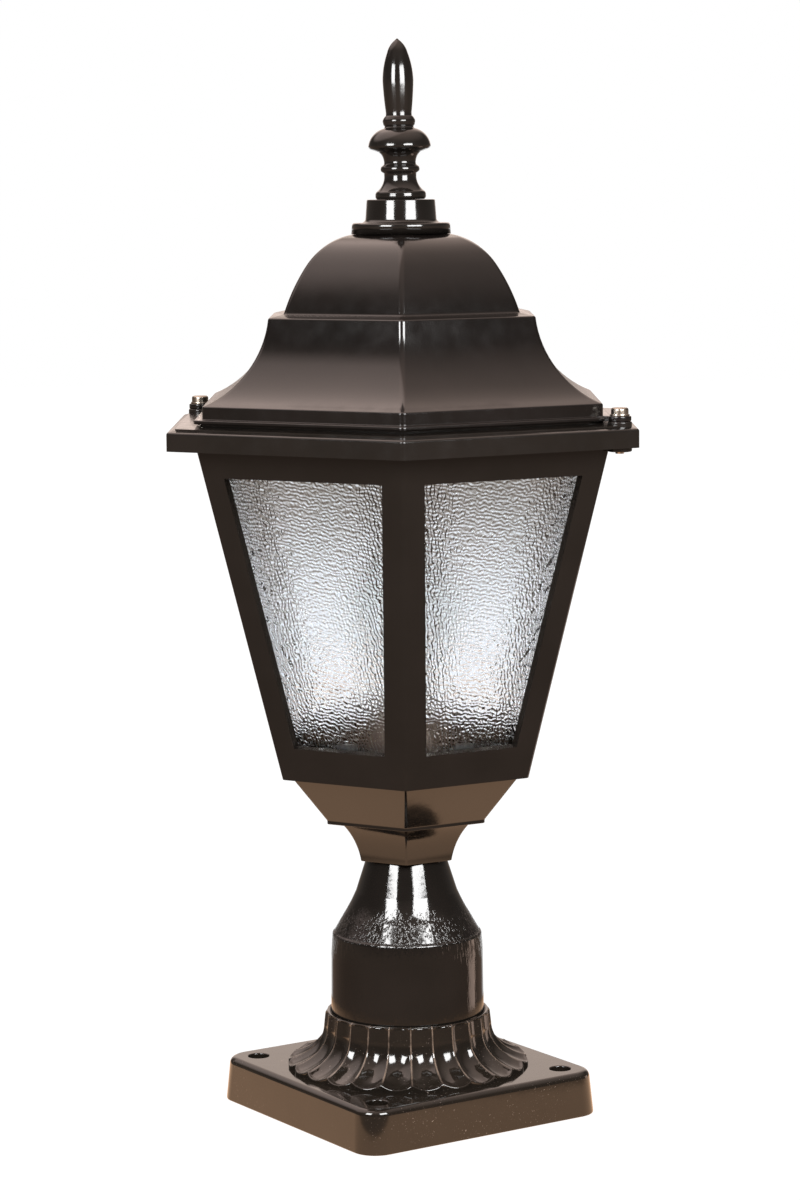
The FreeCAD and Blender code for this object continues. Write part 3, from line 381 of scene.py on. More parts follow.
spunAluminium = plainMaterial(
    "spunAluminium", ("B4B5B7", "CFD0D1"), 1.2, 0.32, 0.5, 0.006, metallic=1.0, stretch=(0.1, 0.1, 1.0),
)
tungstenWire = plainMaterial("tungstenWire", ("55565A", "6E7076"), 1.0, 0.45, 0.3, 0.003, metallic=1.0)
brownPhenolic = plainMaterial("brownPhenolic", ("4A413B", "5A504A"), 9.0, 0.34, 1.2, 0.008)
firedSteatite = plainMaterial("firedSteatite", ("D9D3C6", "EAE6DC"), 7.0, 0.4, 1.0, 0.012)
naturalNylon = plainMaterial("naturalNylon", ("CFCBBE", "DEDBD0"), 12.0, 0.5, 1.5, 0.012)
brownVinyl = plainMaterial("brownVinyl", ("4A2A18", "5B351F"), 15.0, 0.42, 1.0, 0.008)
blueVinyl = plainMaterial("blueVinyl", ("1F4C93", "2A5DA8"), 15.0, 0.42, 1.0, 0.008)
earthVinyl = stripedVinyl("greenYellowVinyl", ("3E7A22", "D9C832"), 9.0)
print("materials made")

# CAD nodes that keep their own shape
keptNodes = {
    zincPlate: ["frame_screws", "pane_clips", "clip_screws", "tie_tube", "tie_washers", "tie_nuts", "finial_stud",
                "finial_washer", "finial_nut", "clamp_screws", "block_screws", "lampholder_screws"],
    yellowBrass: ["lampholder_shell", "lampholder_contact", "lamp_contact", "earth_tag", "earth_screw"],
    spunAluminium: ["lamp_cap"],
    tungstenWire: ["lamp_filament"],
    brownPhenolic: ["lampholder_cap", "lampholder_barrel", "lamp_insulator"],
    firedSteatite: ["lampholder_core"],
    naturalNylon: ["terminal_block"],
    brownVinyl: ["live_lead"],
    blueVinyl: ["neutral_lead"],
    earthVinyl: ["earth_lead"],
}
for finish, nodeNames in keptNodes.items():
    for nodeName in nodeNames:
        for materialSlot in frame["nodes"][nodeName].material_slots:
            materialSlot.material = finish
print("kept nodes finished")


# Base plate and its fluted bell, one casting

plate = {
    "side": 134.4, "turn": 33.8, "height": 21.0, "wall": 4.0, "draft": 1.6,
    "cornerRound": 12.0, "edgeRound": 3.0, "footRound": 0.8, "holeRound": 0.8,
    "bossWall": 4.0, "throat": 32.8, "mouthSlack": 0.1,
    "earthBoss": 4.6, "tagThickness": 0.8, "bossOverlap": 0.5,
}
bell = {
    "flutes": 24,
    "firstRidge": 2.0,
    "stepsPerFlute": 12,
    "stepLength": 0.5,
    "ridge": [
        (56.3, -1.0), (56.3, 2.8, 0.25), (55.4, 3.6, -1.5), (42.2, 12.5, -0.4), (40.3, 19.0), (39.6, 25.3, 0.12),
        (39.0, 26.1), (38.4, 26.6),
    ],
    # level above the plate less radius: the flute's depth there
    "depths": [
        (-54.0, 1.8), (-52.5, 1.9), (-50.5, 2.6), (-46.0, 2.5), (-38.0, 2.1), (-29.7, 1.8), (-21.3, 1.4),
        (-13.6, 1.3), (-12.6, 0.0), (-11.0, 0.0),
    ],
    "archDrop": 2.0,
    "lean": 84.0, "leanStart": -28.0, "leanEnd": -44.0,
    "bulge": 1.9, "bulgeStart": -36.0, "bulgeEnd": -51.0,
    "socketRadius": 36.9, "socketWall": 0.5,
    "hollowRadius": 29.0, "hollowLevel": 39.0, "throatDrop": 1.0,
}
# Colour, width and reach of the painted highlight along the bell's ridges
ridgeHighlight = {"colour": "7A6A5E", "share": 0.045, "amount": 0.75, "low": 24.0, "fade": 2.0, "patchSize": 5.0}


def paintedRidgeHighlight(tree, place, colour):
    # Painted highlight: the colour turns lighter along the ridges between the bell's flutes, where each ridge catches
    # the light
    parts = addNode(tree, "SeparateXYZ", links=place).outputs
    forwards = addNode(tree, "Math", {"operation": "MULTIPLY", 1: -1.0}, {0: parts["Y"]})
    angle = addNode(tree, "Math", {"operation": "ARCTAN2"}, {0: parts["X"], 1: forwards})
    turns = addNode(tree, "Math", {
        "operation": "MULTIPLY_ADD",
        1: bell["flutes"] / (2 * math.pi),
        2: -bell["firstRidge"] * bell["flutes"] / 360.0,
    }, {0: angle})
    apart = addNode(tree, "Math", {"operation": "PINGPONG", 1: 0.5}, {0: turns})
    share = addNode(tree, "MapRange", {2: ridgeHighlight["share"], 3: ridgeHighlight["amount"], 4: 0.0}, {0: apart})
    low = ridgeHighlight["low"] * millimetre
    above = addNode(tree, "MapRange", {1: low, 2: low + ridgeHighlight["fade"] * millimetre}, {0: parts["Z"]})
    patches = addNode(tree, "TexNoise", {"Scale": perMillimetre(ridgeHighlight["patchSize"])}, place)
    patchy = addNode(tree, "MapRange", {1: 0.35, 2: 0.6, 3: 0.2}, {0: patches})
    for part in (above, patchy):
        share = addNode(tree, "Math", {"operation": "MULTIPLY"}, {0: share, 1: part})
    return addNode(tree, "MixRGB", {"Color2": linearColour(ridgeHighlight["colour"])}, {"Fac": share, "Color1": colour})


# The base's enamel carries the painted highlight on the bell's ridges
basePaint = stovedEnamel("stovedEnamelBase", 0.09, 0.7, dust=0.8, shades=("120F0C", "1A1612"), paintedHighlight=paintedRidgeHighlight)


def roundedBlock(side, low, high, cornerRound):
    bm = block(side, side, high - low, Vector((0, 0, (low + high) / 2)))
    top = [vert for vert in bm.verts if vert.co.z > (low + high) / 2]
    share = (side - 2 * plate["draft"]) / side
    bmesh.ops.scale(bm, vec=(share, share, 1.0), verts=top)
    upright = [edge for edge in bm.edges if abs(edge.verts[0].co.z - edge.verts[1].co.z) > (high - low) / 2]
    return roundEdges(bm, upright, cornerRound, 10)


def makePlate():
    anchors = next(mount for mount in frame["record"]["mounts"] if mount["name"] == "anchor_holes")
    holeRadius = anchors["dims"]["hole_r_mm"]
    half = anchors["dims"]["pcd_mm"] / 2 * math.sqrt(0.5)
    places = [Vector((x, y, 0)) for x in (-half, half) for y in (-half, half)]
    height, wall = plate["height"], plate["wall"]
    body = roundedBlock(plate["side"], 0, height, plate["cornerRound"])
    roundEdges(body, rimEdges(body, height), plate["edgeRound"], 5)
    roundEdges(body, rimEdges(body, 0.0), plate["footRound"], 2)
    cavity = roundedBlock(plate["side"] - 2 * wall, -through, height - wall, plate["cornerRound"] - wall)
    bossRadius = holeRadius + plate["bossWall"]
    bosses = joined(*[cylinder(bossRadius, -2 * through, height - wall + through, place) for place in places])
    cavity = combined(cavity, bosses, "DIFFERENCE")
    body = combined(body, cavity, "DIFFERENCE")
    holes = [cylinder(holeRadius, -through, height + through, place) for place in places]
    holes.append(cylinder(plate["throat"], -through, height + through, sides=96))
    body = combined(body, joined(*holes), "DIFFERENCE")
    mouths = []
    for edge in rimEdges(body, height):
        if any(abs((edge.verts[0].co.xy - place.xy).length - holeRadius) < plate["mouthSlack"] for place in places):
            mouths.append(edge)
    roundEdges(body, mouths, plate["holeRound"], 3)
    return turn(body, plate["turn"])


def smoothStep(value, start, end):
    value = min(max((value - start) / (end - start), 0.0), 1.0)
    return value * value * (3 - 2 * value)


def between(stops, value):
    for (low, first), (high, second) in zip(stops, stops[1:]):
        if value <= high:
            return first + (second - first) * min(max((value - low) / (high - low), 0.0), 1.0)
    return stops[-1][1]


def fluted(vert, base):
    # Sinks a point of the plain bell into its flute, and rounds the flute's end outwards like a shell
    azimuth = math.degrees(math.atan2(vert.co.x, -vert.co.y))
    across = 2 * ((azimuth - bell["firstRidge"]) * bell["flutes"] / 360.0 % 1.0) - 1.0  # -1 and 1 on the ridges
    dish = 1.0 - across * across
    along = vert.co.z - base - vert.co.xy.length
    arch = bell["archDrop"] * across ** 4 if along > bell["leanStart"] else 0.0
    depth = dish * between(bell["depths"], along + arch) if vert.co.z > base else 0.0
    lean = smoothStep(along, bell["leanStart"], bell["leanEnd"]) * math.radians(bell["lean"])
    bulge = smoothStep(along, bell["bulgeStart"], bell["bulgeEnd"])
    outwards = vert.co.xy.normalized() * (bulge * bell["bulge"] * dish - depth * math.cos(lean))
    vert.co += Vector((outwards.x, outwards.y, -depth * math.sin(lean)))


def makeBell():
    base = plate["height"]
    rimLevel = highOf("base_plate")
    socketLevel = lowOf("column")
    ridge = curved([(radius, base + rise, *bow) for radius, rise, *bow in bell["ridge"]], 14)
    wall = []
    for here, following in zip(ridge, ridge[1:]):
        steps = max(1, round((following - here).length / bell["stepLength"]))
        wall += [here.lerp(following, step / steps) for step in range(steps)]
    inner = [Vector(point) for point in (
        (bell["socketRadius"], rimLevel), (bell["socketRadius"], socketLevel),
        (tubeHole, socketLevel), (tubeHole, bell["hollowLevel"]), (bell["hollowRadius"], bell["hollowLevel"]),
        (plate["throat"], base), (plate["throat"], base - bell["throatDrop"]),
    )]
    steps = bell["flutes"] * bell["stepsPerFlute"]
    bm = spun(wall + [ridge[-1]] + inner, steps, closed=True, azimuth=bell["firstRidge"])
    for vert in bm.verts:
        if vert.co.xy.length > bell["socketRadius"] + bell["socketWall"]:
            fluted(vert, base)
    return bm


def makeEarthBoss():
    low = lowOf("earth_tag") + plate["tagThickness"]
    high = plate["height"] - plate["wall"] + plate["bossOverlap"]
    return cylinder(plate["earthBoss"], low, high, middleOf("earth_screw"))


base = joined(makePlate(), makeBell(), makeEarthBoss())
finished(base, "basePlate", basePaint, "lantern", ["base_plate"])
print("base plate made")


# Column

column = {
    "outline": [
        (36.7, 0.0), (36.5, 33.0, 0.1), (35.9, 41.6, 0.22), (34.95, 43.3), (34.7, 43.6), (30.2, 51.5, -0.3),
        (24.25, 63.2), (21.1, 73.0),
    ],
    "topRadius": 19.1, "wall": 3.4, "web": 4.0, "edge": 0.2, "sides": 128,
}
rubbing = {
    "length": 9.0, "width": 1.2, "depth": 0.11, "angles": (35.0, -50.0), "kept": (0.55, 0.68),
    "low": 78.0, "high": 97.0, "fade": 5.0, "weakBelow": 0.1, "weakAbove": 0.04,
}


def handRubbed(tree, place, normal):
    # Short rubbing marks under the paint of the column's shoulder, crossing each other
    level = addNode(tree, "SeparateXYZ", links=place).outputs["Z"]
    low, high, fade = (rubbing[key] * millimetre for key in ("low", "high", "fade"))
    above = addNode(tree, "MapRange", {1: low - fade, 2: low + fade, 3: rubbing["weakBelow"]}, {0: level})
    below = addNode(tree, "MapRange", {1: high - fade, 2: high + fade, 3: 1.0, 4: rubbing["weakAbove"]}, {0: level})
    where = addNode(tree, "Math", {"operation": "MULTIPLY"}, {0: above, 1: below})
    least, most = rubbing["kept"]
    for angle in rubbing["angles"]:
        slanting = addNode(tree, "Mapping", {
            "Rotation": (0.0, math.radians(angle), math.radians(angle / 2)),
            "Scale": (1.0, 1.0, rubbing["width"] / rubbing["length"]),
        }, place)
        marks = addNode(tree, "TexNoise", {"Scale": perMillimetre(rubbing["width"])}, {"Vector": slanting})
        kept = addNode(tree, "MapRange", {1: least, 2: most}, {0: marks})
        height = addNode(tree, "Math", {"operation": "MULTIPLY"}, {0: kept, 1: where})
        depth = rubbing["depth"] * millimetre
        normal = addNode(tree, "Bump", {"Distance": depth}, {"Height": height, "Normal": normal})
    return normal


columnPaint = stovedEnamel("stovedEnamelColumn", 0.07, 0.5, strokes=handRubbed)


def makeColumn():
    foot, top = lowOf("column"), lowOf("neck_collar")
    wall = column["wall"]
    outer = [(radius, foot + rise, *bow) for radius, rise, *bow in column["outline"]]
    inner = [(radius - wall, level - wall) for radius, level, *bow in reversed(outer[1:])]
    outline = curved([
        *outer,
        (column["topRadius"], top),
        (tubeHole, top),
        (tubeHole, top - column["web"]),
        (column["topRadius"] - wall, top - column["web"]),
        *inner,
        (outer[0][0] - wall, foot),
    ], 12)
    bm = spun(outline, column["sides"], closed=True)
    return roundEdges(bm, sharpEdges(bm, 30.0), column["edge"], 2)


finished(makeColumn(), "column", columnPaint, "lantern", ["column"])


# Neck collar and lower bowl

neck = {"footCorner": 24.8, "topCorner": 35.6, "bow": -1.6, "bore": 16.2, "web": 4.0, "arris": 0.7, "edge": 0.35}
bowl = {
    "lipCorner": 42.9, "topCorner": 61.1, "lip": 1.7, "wall": 3.2, "floor": 4.0, "arris": 0.9, "edge": 0.4,
    "bossRadius": 4.6, "bossCircle": 52.9, "bossAzimuths": (0.0, 120.0, 240.0), "core": 1.0,
}


def roundHexagon(bm, arris, edge):
    roundEdges(bm, [each for each in sharpEdges(bm) if isUpright(each)], arris, 4)
    return roundEdges(bm, sharpEdges(bm, 35.0), edge, 2)


def makeNeck():
    foot, top = lowOf("neck_collar"), highOf("neck_collar")
    bm = sixSided([
        (neck["footCorner"] * flatShare, foot, neck["bow"]),
        (neck["topCorner"] * flatShare, top),
        (tubeHole, top),
        (tubeHole, top - neck["web"]),
        (neck["bore"], top - neck["web"]),
        (neck["bore"], foot),
    ])
    return roundHexagon(bm, neck["arris"], neck["edge"])


def makeBowl():
    foot, top = lowOf("lower_bowl"), highOf("lower_bowl")
    lipFlat = bowl["lipCorner"] * flatShare
    topFlat = bowl["topCorner"] * flatShare
    floor = foot + bowl["floor"]
    bm = sixSided([
        (lipFlat, foot), (lipFlat, foot + bowl["lip"]), (topFlat, top), (topFlat - bowl["wall"], top),
        (lipFlat - bowl["wall"], floor), (tubeHole, floor), (tubeHole, foot),
    ])
    roundHexagon(bm, bowl["arris"], bowl["edge"])
    places = [polar(bowl["bossCircle"], azimuth) for azimuth in bowl["bossAzimuths"]]
    bosses = joined(*[cylinder(bowl["bossRadius"], floor, top, place) for place in places])
    inset = bowl["wall"] / 2
    low, high = foot + through, top + through
    hollow = sixSided([(bowl["core"], low), (lipFlat - inset, low), (topFlat - inset, high), (bowl["core"], high)])
    return joined(bm, combined(bosses, hollow, "INTERSECT"))


finished(makeNeck(), "neckCollar", bowlPaint, "lantern", ["neck_collar"])
finished(makeBowl(), "lowerBowl", bowlPaint, "lantern", ["lower_bowl"])
print("column, neck and bowl made")


# Lantern frame: six tapered sides with a window in each, and the brim

cage = {
    "bottomCorner": 66.4, "topCorner": 108.8, "height": 156.5, "wall": 4.0,
    "floor": 3.0, "floorHole": 39.0, "floorReach": 25.0, "holeReach": 5.0,
    "mullion": 11.0, "lowerRail": 16.4, "upperRail": 13.1,
    "brimLip": 8.5, "brimLipWall": 3.6, "brimWeb": 3.2, "brimSlope": 1.0, "brimRound": 1.1,
    "brimStepInset": 4.5, "brimStep": 1.3, "seatInset": 18.5, "seat": 1.0,
    "bossRadius": 5.6, "bossDrop": 2.0, "bossRound": 0.6,
    "arris": 1.3, "arrisSlack": 0.5, "rimSlack": 2.0, "edge": 0.45,
}
cageFoot = lowOf("lantern_frame")
brimLevel = cageFoot + cage["height"]
roofLevel = highOf("lantern_frame")
brimCorner = -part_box("lantern_frame")[0][1] / millimetre  # a corner of the brim points to -Y
cageRise = (cage["topCorner"] - cage["bottomCorner"]) * flatShare
cageTilt = math.atan2(cageRise, cage["height"])
faceLength = math.hypot(cageRise, cage["height"])


def onFace(azimuth):
    # From a side's own drawing, x across, z up the face and y inwards, to its place on the frame
    tilt = Matrix.Rotation(cageTilt, 4, "X")
    place = Matrix.Translation((0, -cage["bottomCorner"] * flatShare, cageFoot))
    return Matrix.Rotation(math.radians(azimuth), 4, "Z") @ place @ tilt


def halfFace(height):
    growth = (cage["topCorner"] - cage["bottomCorner"]) / faceLength
    return (cage["bottomCorner"] + growth * height) / 2


def openWindow(bm, azimuth):
    # Both skins of one side are cut along the window's four lines, and the two openings joined
    place = onFace(azimuth)
    lean = math.atan2((cage["topCorner"] - cage["bottomCorner"]) / 2, faceLength)
    low, high = cage["lowerRail"], faceLength - cage["upperRail"]
    cuts = [(Vector((0, 0, low)), upAxis), (Vector((0, 0, high)), upAxis)]
    for side in (-1, 1):
        corner = Vector((side * (halfFace(0) - cage["mullion"]), 0, 0))
        cuts.append((corner, Vector((side * math.cos(lean), 0, -math.sin(lean)))))
    outwards = (place.to_3x3() @ Vector((0, -1, 0))).normalized()
    middle = place @ Vector((0, cage["wall"] / 2, (low + high) / 2))

    def skins():
        # The faces of this side's outer and inner wall
        found = []
        for face in bm.faces:
            if abs(face.normal.dot(outwards)) > alike:
                offset = (face.calc_center_median() - middle).dot(outwards)
                if abs(offset) < cage["wall"]:
                    found.append(face)
        return found

    for point, normal in cuts:
        faces = skins()
        edges = {edge for face in faces for edge in face.edges}
        verts = {vert for face in faces for vert in face.verts}
        bmesh.ops.bisect_plane(
            bm, geom=faces + list(edges) + list(verts), dist=weld,
            plane_co=place @ point, plane_no=(place.to_3x3() @ normal).normalized(),
        )
    inverse = place.inverted()
    opened = []
    for face in skins():
        local = inverse @ face.calc_center_median()
        if low < local.z < high and abs(local.x) < halfFace(local.z) - cage["mullion"]:
            opened.append(face)
    rims = [edge for face in opened for edge in face.edges]
    bmesh.ops.delete(bm, geom=opened, context="FACES_ONLY")
    bmesh.ops.bridge_loops(bm, edges=rims)


def makeCage():
    bottomFlat = cage["bottomCorner"] * flatShare
    topFlat = cage["topCorner"] * flatShare
    brimFlat = brimCorner * flatShare
    stepFlat = (brimCorner - cage["brimStepInset"]) * flatShare
    seatFlat = (brimCorner - cage["seatInset"]) * flatShare
    wall = cage["wall"] / math.cos(cageTilt)
    edgeLevel = brimLevel + cage["brimLip"]
    webLevel = edgeLevel - cage["brimWeb"]
    stepLevel = edgeLevel + cage["brimSlope"]
    floorTop = cageFoot + cage["floor"]
    bm = sixSided([
        (bottomFlat, cageFoot), (topFlat, brimLevel), (topFlat, webLevel),
        (brimFlat - cage["brimLipWall"], webLevel), (brimFlat - cage["brimLipWall"], brimLevel),
        (brimFlat, brimLevel), (brimFlat, edgeLevel),
        (stepFlat, stepLevel), (stepFlat, stepLevel + cage["brimStep"] / 2),
        (seatFlat, stepLevel + cage["brimStep"]), (seatFlat, roofLevel),
        (topFlat - wall, roofLevel), (topFlat - wall, brimLevel),
        (bottomFlat + cage["floor"] * math.tan(cageTilt) - wall, floorTop),
        (cage["floorReach"], floorTop), (cage["floorReach"], cageFoot),
    ])
    for azimuth in sideAzimuths.values():
        openWindow(bm, azimuth)
    bmesh.ops.recalc_face_normals(bm, faces=bm.faces)
    outerArrises = [edge for edge in sharpEdges(bm) if isUpright(edge)
                    and min(vert.co.xy.length for vert in edge.verts) > cage["bottomCorner"] - cage["arrisSlack"]
                    and max(vert.co.z for vert in edge.verts) < roofLevel - cage["seat"]]
    roundEdges(bm, outerArrises, cage["arris"], 4)
    brimRim = [edge for edge in rimEdges(bm, edgeLevel)
               if min(vert.co.xy.length for vert in edge.verts) > brimFlat - cage["rimSlack"]]
    roundEdges(bm, brimRim, cage["brimRound"], 4)
    reach = cage["holeReach"]
    bm = combined(bm, cylinder(cage["floorHole"], cageFoot - reach, floorTop + reach, sides=72), "DIFFERENCE")
    roundEdges(bm, sharpEdges(bm, 40.0), cage["edge"], 2)
    shells = [bm]
    for name in ("roof_screw_right", "roof_screw_left"):
        boss = cylinder(cage["bossRadius"], brimLevel - cage["bossDrop"], roofLevel, middleOf(name))
        shells.append(roundEdges(boss, sharpEdges(boss, 40.0), cage["bossRound"], 2))
    return joined(*shells)


frameShell = finished(makeCage(), "lanternFrame", cagePaint, "lantern", ["lantern_frame"])
frameShell.data.set_sharp_from_angle(angle=creaseAngle)
frameShell.modifiers[0].keep_sharp = True
print("frame made")


# Hammered glass, rolled with the relief on its outer face

pane = {
    "overlap": 4.5, "thickness": 4.0, "gap": 0.2, "across": 240, "up": 380,
    "reliefDepth": 0.29, "dentPitch": 3.3, "rowPitch": 2.2, "rowAngle": -44.0, "wander": 2.8, "wanderShare": 0.6,
    "seedStep": 7.0,
}
noise.seed_set(5)  # without a seed, the vector noise is another one in each run


def relief(x, z, seed):
    # Small dents in slanting rows that wander. Their slopes have a limit, so the glass blurs only so far
    angle = math.radians(pane["rowAngle"])
    drift = noise.noise_vector(Vector((x, z, seed)) / pane["wander"]) * pane["wanderShare"]
    along = (x * math.cos(angle) + z * math.sin(angle)) / pane["dentPitch"] + drift.x
    over = (z * math.cos(angle) - x * math.sin(angle)) / pane["rowPitch"] + drift.y
    return pane["reliefDepth"] * (0.5 + 0.5 * math.cos(2 * math.pi * over) * math.cos(2 * math.pi * along))


def makePane(azimuth):
    low = cage["lowerRail"] - pane["overlap"]
    high = faceLength - cage["upperRail"] + pane["overlap"]
    margin = cage["mullion"] - pane["overlap"]
    outerDepth = cage["wall"] + pane["gap"]
    bm = bmesh.new()
    bmesh.ops.create_grid(bm, x_segments=pane["across"], y_segments=pane["up"], size=0.5)
    seed = azimuth / pane["seedStep"]
    for vert in bm.verts:
        height = low + (vert.co.y + 0.5) * (high - low)
        across = 2 * vert.co.x * (halfFace(height) - margin)
        vert.co = Vector((across, outerDepth + relief(across, height, seed), height))
    rim = [edge for edge in bm.edges if edge.is_boundary]
    skirt = bmesh.ops.extrude_edge_only(bm, edges=rim)["geom"]
    for vert in (item for item in skirt if isinstance(item, bmesh.types.BMVert)):
        vert.co.y = outerDepth + pane["thickness"]
    back = [edge for edge in bm.edges if edge.is_boundary]
    bmesh.ops.edgeloop_fill(bm, edges=back)
    bmesh.ops.recalc_face_normals(bm, faces=bm.faces)
    bmesh.ops.transform(bm, matrix=onFace(azimuth), verts=bm.verts)
    return bm


for sideName, azimuth in sideAzimuths.items():
    glass = finished(
        makePane(azimuth), "glassPane_" + sideName, hammeredGlass, "lantern",
        ["glass_pane_" + sideName], weighted=False,
    )
    glass.data.set_sharp_from_angle(angle=creaseAngle)
print("panes made")


# Roof

roof = {
    "flangeCorner": 110.0, "flange": 1.9, "fasciaCorner": 105.6, "fascia": 5.9,
    "skirt": 39.3, "skirtTopCorner": 71.0, "skirtBow": -6.9, "ledge": 1.6,
    "domeCorner": 62.9, "domeSide": 22.6, "domeSideBow": 0.9,
    "shoulderCorner": 50.4, "shoulder": 13.5, "shoulderBow": 3.2,
    "topCorner": 23.0, "studHole": 3.3, "wall": 3.0, "arris": 1.7, "edge": 0.6,
    "rimHeight": 4.0, "rimFlat": 89.4, "rimWall": 2.5,
    "earRadius": 5.3, "earThickness": 2.5, "earBar": 7.0, "earRound": 0.5,
    "ears": {"roof_screw_right": 60.0, "roof_screw_left": 240.0},
}


def makeRoof():
    flange = roof["flangeCorner"] * flatShare
    fascia = roof["fasciaCorner"] * flatShare
    skirtTop = roof["skirtTopCorner"] * flatShare
    dome = roof["domeCorner"] * flatShare
    shoulder = roof["shoulderCorner"] * flatShare
    top = roof["topCorner"] * flatShare
    wall = roof["wall"]
    fasciaLevel = roofLevel + roof["flange"]
    skirtLevel = fasciaLevel + roof["fascia"]
    ledgeLevel = skirtLevel + roof["skirt"]
    domeLevel = ledgeLevel + roof["ledge"]
    shoulderLevel = domeLevel + roof["domeSide"]
    topLevel = shoulderLevel + roof["shoulder"]
    bm = sixSided([
        (flange, roofLevel),
        (flange, fasciaLevel),
        (fascia, fasciaLevel),
        (fascia, skirtLevel, roof["skirtBow"]),
        (skirtTop, ledgeLevel),
        (dome, domeLevel, roof["domeSideBow"]),
        (shoulder, shoulderLevel, roof["shoulderBow"]),
        (top, topLevel),
        (top - wall, topLevel - wall, -roof["shoulderBow"]),
        (shoulder - wall, shoulderLevel - wall, -roof["domeSideBow"]),
        (dome - wall, domeLevel - wall),
        (skirtTop - wall, ledgeLevel - wall, -roof["skirtBow"]),
        (fascia - wall, skirtLevel - wall),
        (fascia - wall, roofLevel),
    ], 16)
    roundHexagon(bm, roof["arris"], roof["edge"])
    lid = spun([Vector(point) for point in (
        (roof["studHole"], topLevel - wall), (top, topLevel - wall), (top, topLevel), (roof["studHole"], topLevel),
    )], 48, closed=True)
    rimLow = roofLevel - roof["rimHeight"]
    rimInner = roof["rimFlat"] - roof["rimWall"]
    rim = sixSided([
        (roof["rimFlat"], rimLow), (roof["rimFlat"], fasciaLevel), (rimInner, fasciaLevel), (rimInner, rimLow),
    ])
    shells = [bm, lid, rim]
    thickness = roof["earThickness"]
    for name, azimuth in roof["ears"].items():
        place = middleOf(name)
        circle = place.length
        ear = cylinder(roof["earRadius"], roofLevel, roofLevel + thickness, place)
        length = circle - roof["rimFlat"] / flatShare
        middle = Vector((0, -circle + length / 2, roofLevel + thickness / 2))
        bar = turn(block(roof["earBar"], length, thickness, middle), azimuth)
        for shell in (ear, bar):
            shells.append(roundEdges(shell, sharpEdges(shell, 40.0), roof["earRound"], 2))
    return joined(*shells)


finished(makeRoof(), "roof", roofPaint, "roof_group", ["roof"])
print("roof made")


# Roof screws and washers

screw = {
    "headRadius": 4.0, "head": 3.0, "headRound": 1.0, "slot": 1.2, "slotDepth": 1.4, "slotRound": 0.12,
    "shank": 2.0, "shankOverlap": 0.2,
}
washer = {"radius": 4.5, "bore": 2.1, "thickness": 0.8, "round": 0.15}


def makeRoofScrew(node):
    top = highOf(node)
    seat = top - screw["head"]
    head = cylinder(screw["headRadius"], seat, top, sides=40)
    roundEdges(head, rimEdges(head, top), screw["headRound"], 4)
    slotMiddle = Vector((0, 0, top - screw["slotDepth"] / 2 + through / 2))
    cutter = block(4 * screw["headRadius"], screw["slot"], screw["slotDepth"] + through, slotMiddle)
    head = combined(head, cutter, "DIFFERENCE")
    roundEdges(head, sharpEdges(head, 60.0), screw["slotRound"], 2)
    whole = joined(head, cylinder(screw["shank"], lowOf(node), seat + screw["shankOverlap"], sides=24))
    bmesh.ops.translate(whole, vec=middleOf(node), verts=whole.verts)
    return whole


def makeWasher(node):
    low = lowOf(node)
    high = low + washer["thickness"]
    bm = spun([Vector(point) for point in (
        (washer["bore"], low), (washer["radius"], low), (washer["radius"], high), (washer["bore"], high),
    )], 40, closed=True)
    roundEdges(bm, sharpEdges(bm, 60.0), washer["round"], 2)
    bmesh.ops.translate(bm, vec=middleOf(node), verts=bm.verts)
    return bm


for side in ("right", "left"):
    node, body = "roof_screw_" + side, side + "_screw"
    finished(makeRoofScrew(node), "roofScrew_" + side, nickelPlate, body, [node])
    node = "roof_washer_" + side
    finished(makeWasher(node), "roofWasher_" + side, nickelPlate, body, [node])
print("roof screws made")


# Finial

finialBore = 3.08
cap = {
    "flangeRadius": 23.3, "flange": 5.2, "flangeRound": 1.2, "draft": 0.3,
    "footRadius": 17.6, "foot": 1.8, "footFlare": 0.8, "footBow": -0.3,
    "collarRadius": 16.6, "collarTopRadius": 16.0, "collarRound": 0.5, "collarBow": 0.15,
    "sides": 96,
}
spindle = {
    "outline": [
        (11.1, 0.0, 0.3), (11.8, 2.1, 0.4), (10.7, 4.1, -0.9), (7.5, 11.3), (7.6, 12.2), (8.8, 13.0, 0.3), (8.8, 15.3),
        (7.6, 16.2), (7.4, 17.2, -0.7), (10.0, 22.2), (13.2, 23.3, 0.35), (14.6, 25.1, 1.7), (7.1, 33.0),
        (6.7, 33.9, 0.2), (7.4, 35.5, 0.3), (7.2, 37.5, 0.1), (6.1, 38.9), (6.0, 40.3, 0.15), (7.2, 55.0, 0.55),
        (4.8, 67.9, 0.65),
    ],
    "tipRadius": 0.6, "tip": 0.4, "tipBow": 0.1, "boreDepth": 18.0, "lean": 0.9, "sides": 72,
}


def makeFinialCap():
    low, high = lowOf("finial_cap"), highOf("finial_cap")
    flangeTop = low + cap["flange"]
    flangeEdge = cap["flangeRadius"] - cap["draft"]
    corner = cap["flangeRound"]
    bow = corner * (1 - math.sqrt(0.5))
    outline = curved([
        (finialBore, low),
        (cap["flangeRadius"], low),
        (flangeEdge, flangeTop - corner, bow),
        (flangeEdge - corner, flangeTop),
        (cap["footRadius"] + cap["footFlare"], flangeTop, cap["footBow"]),
        (cap["collarRadius"], flangeTop + cap["foot"]),
        (cap["collarTopRadius"], high - cap["collarRound"], cap["collarBow"]),
        (cap["collarTopRadius"] - cap["collarRound"], high),
        (finialBore, high),
    ], 5)
    return spun(outline, cap["sides"], closed=True)


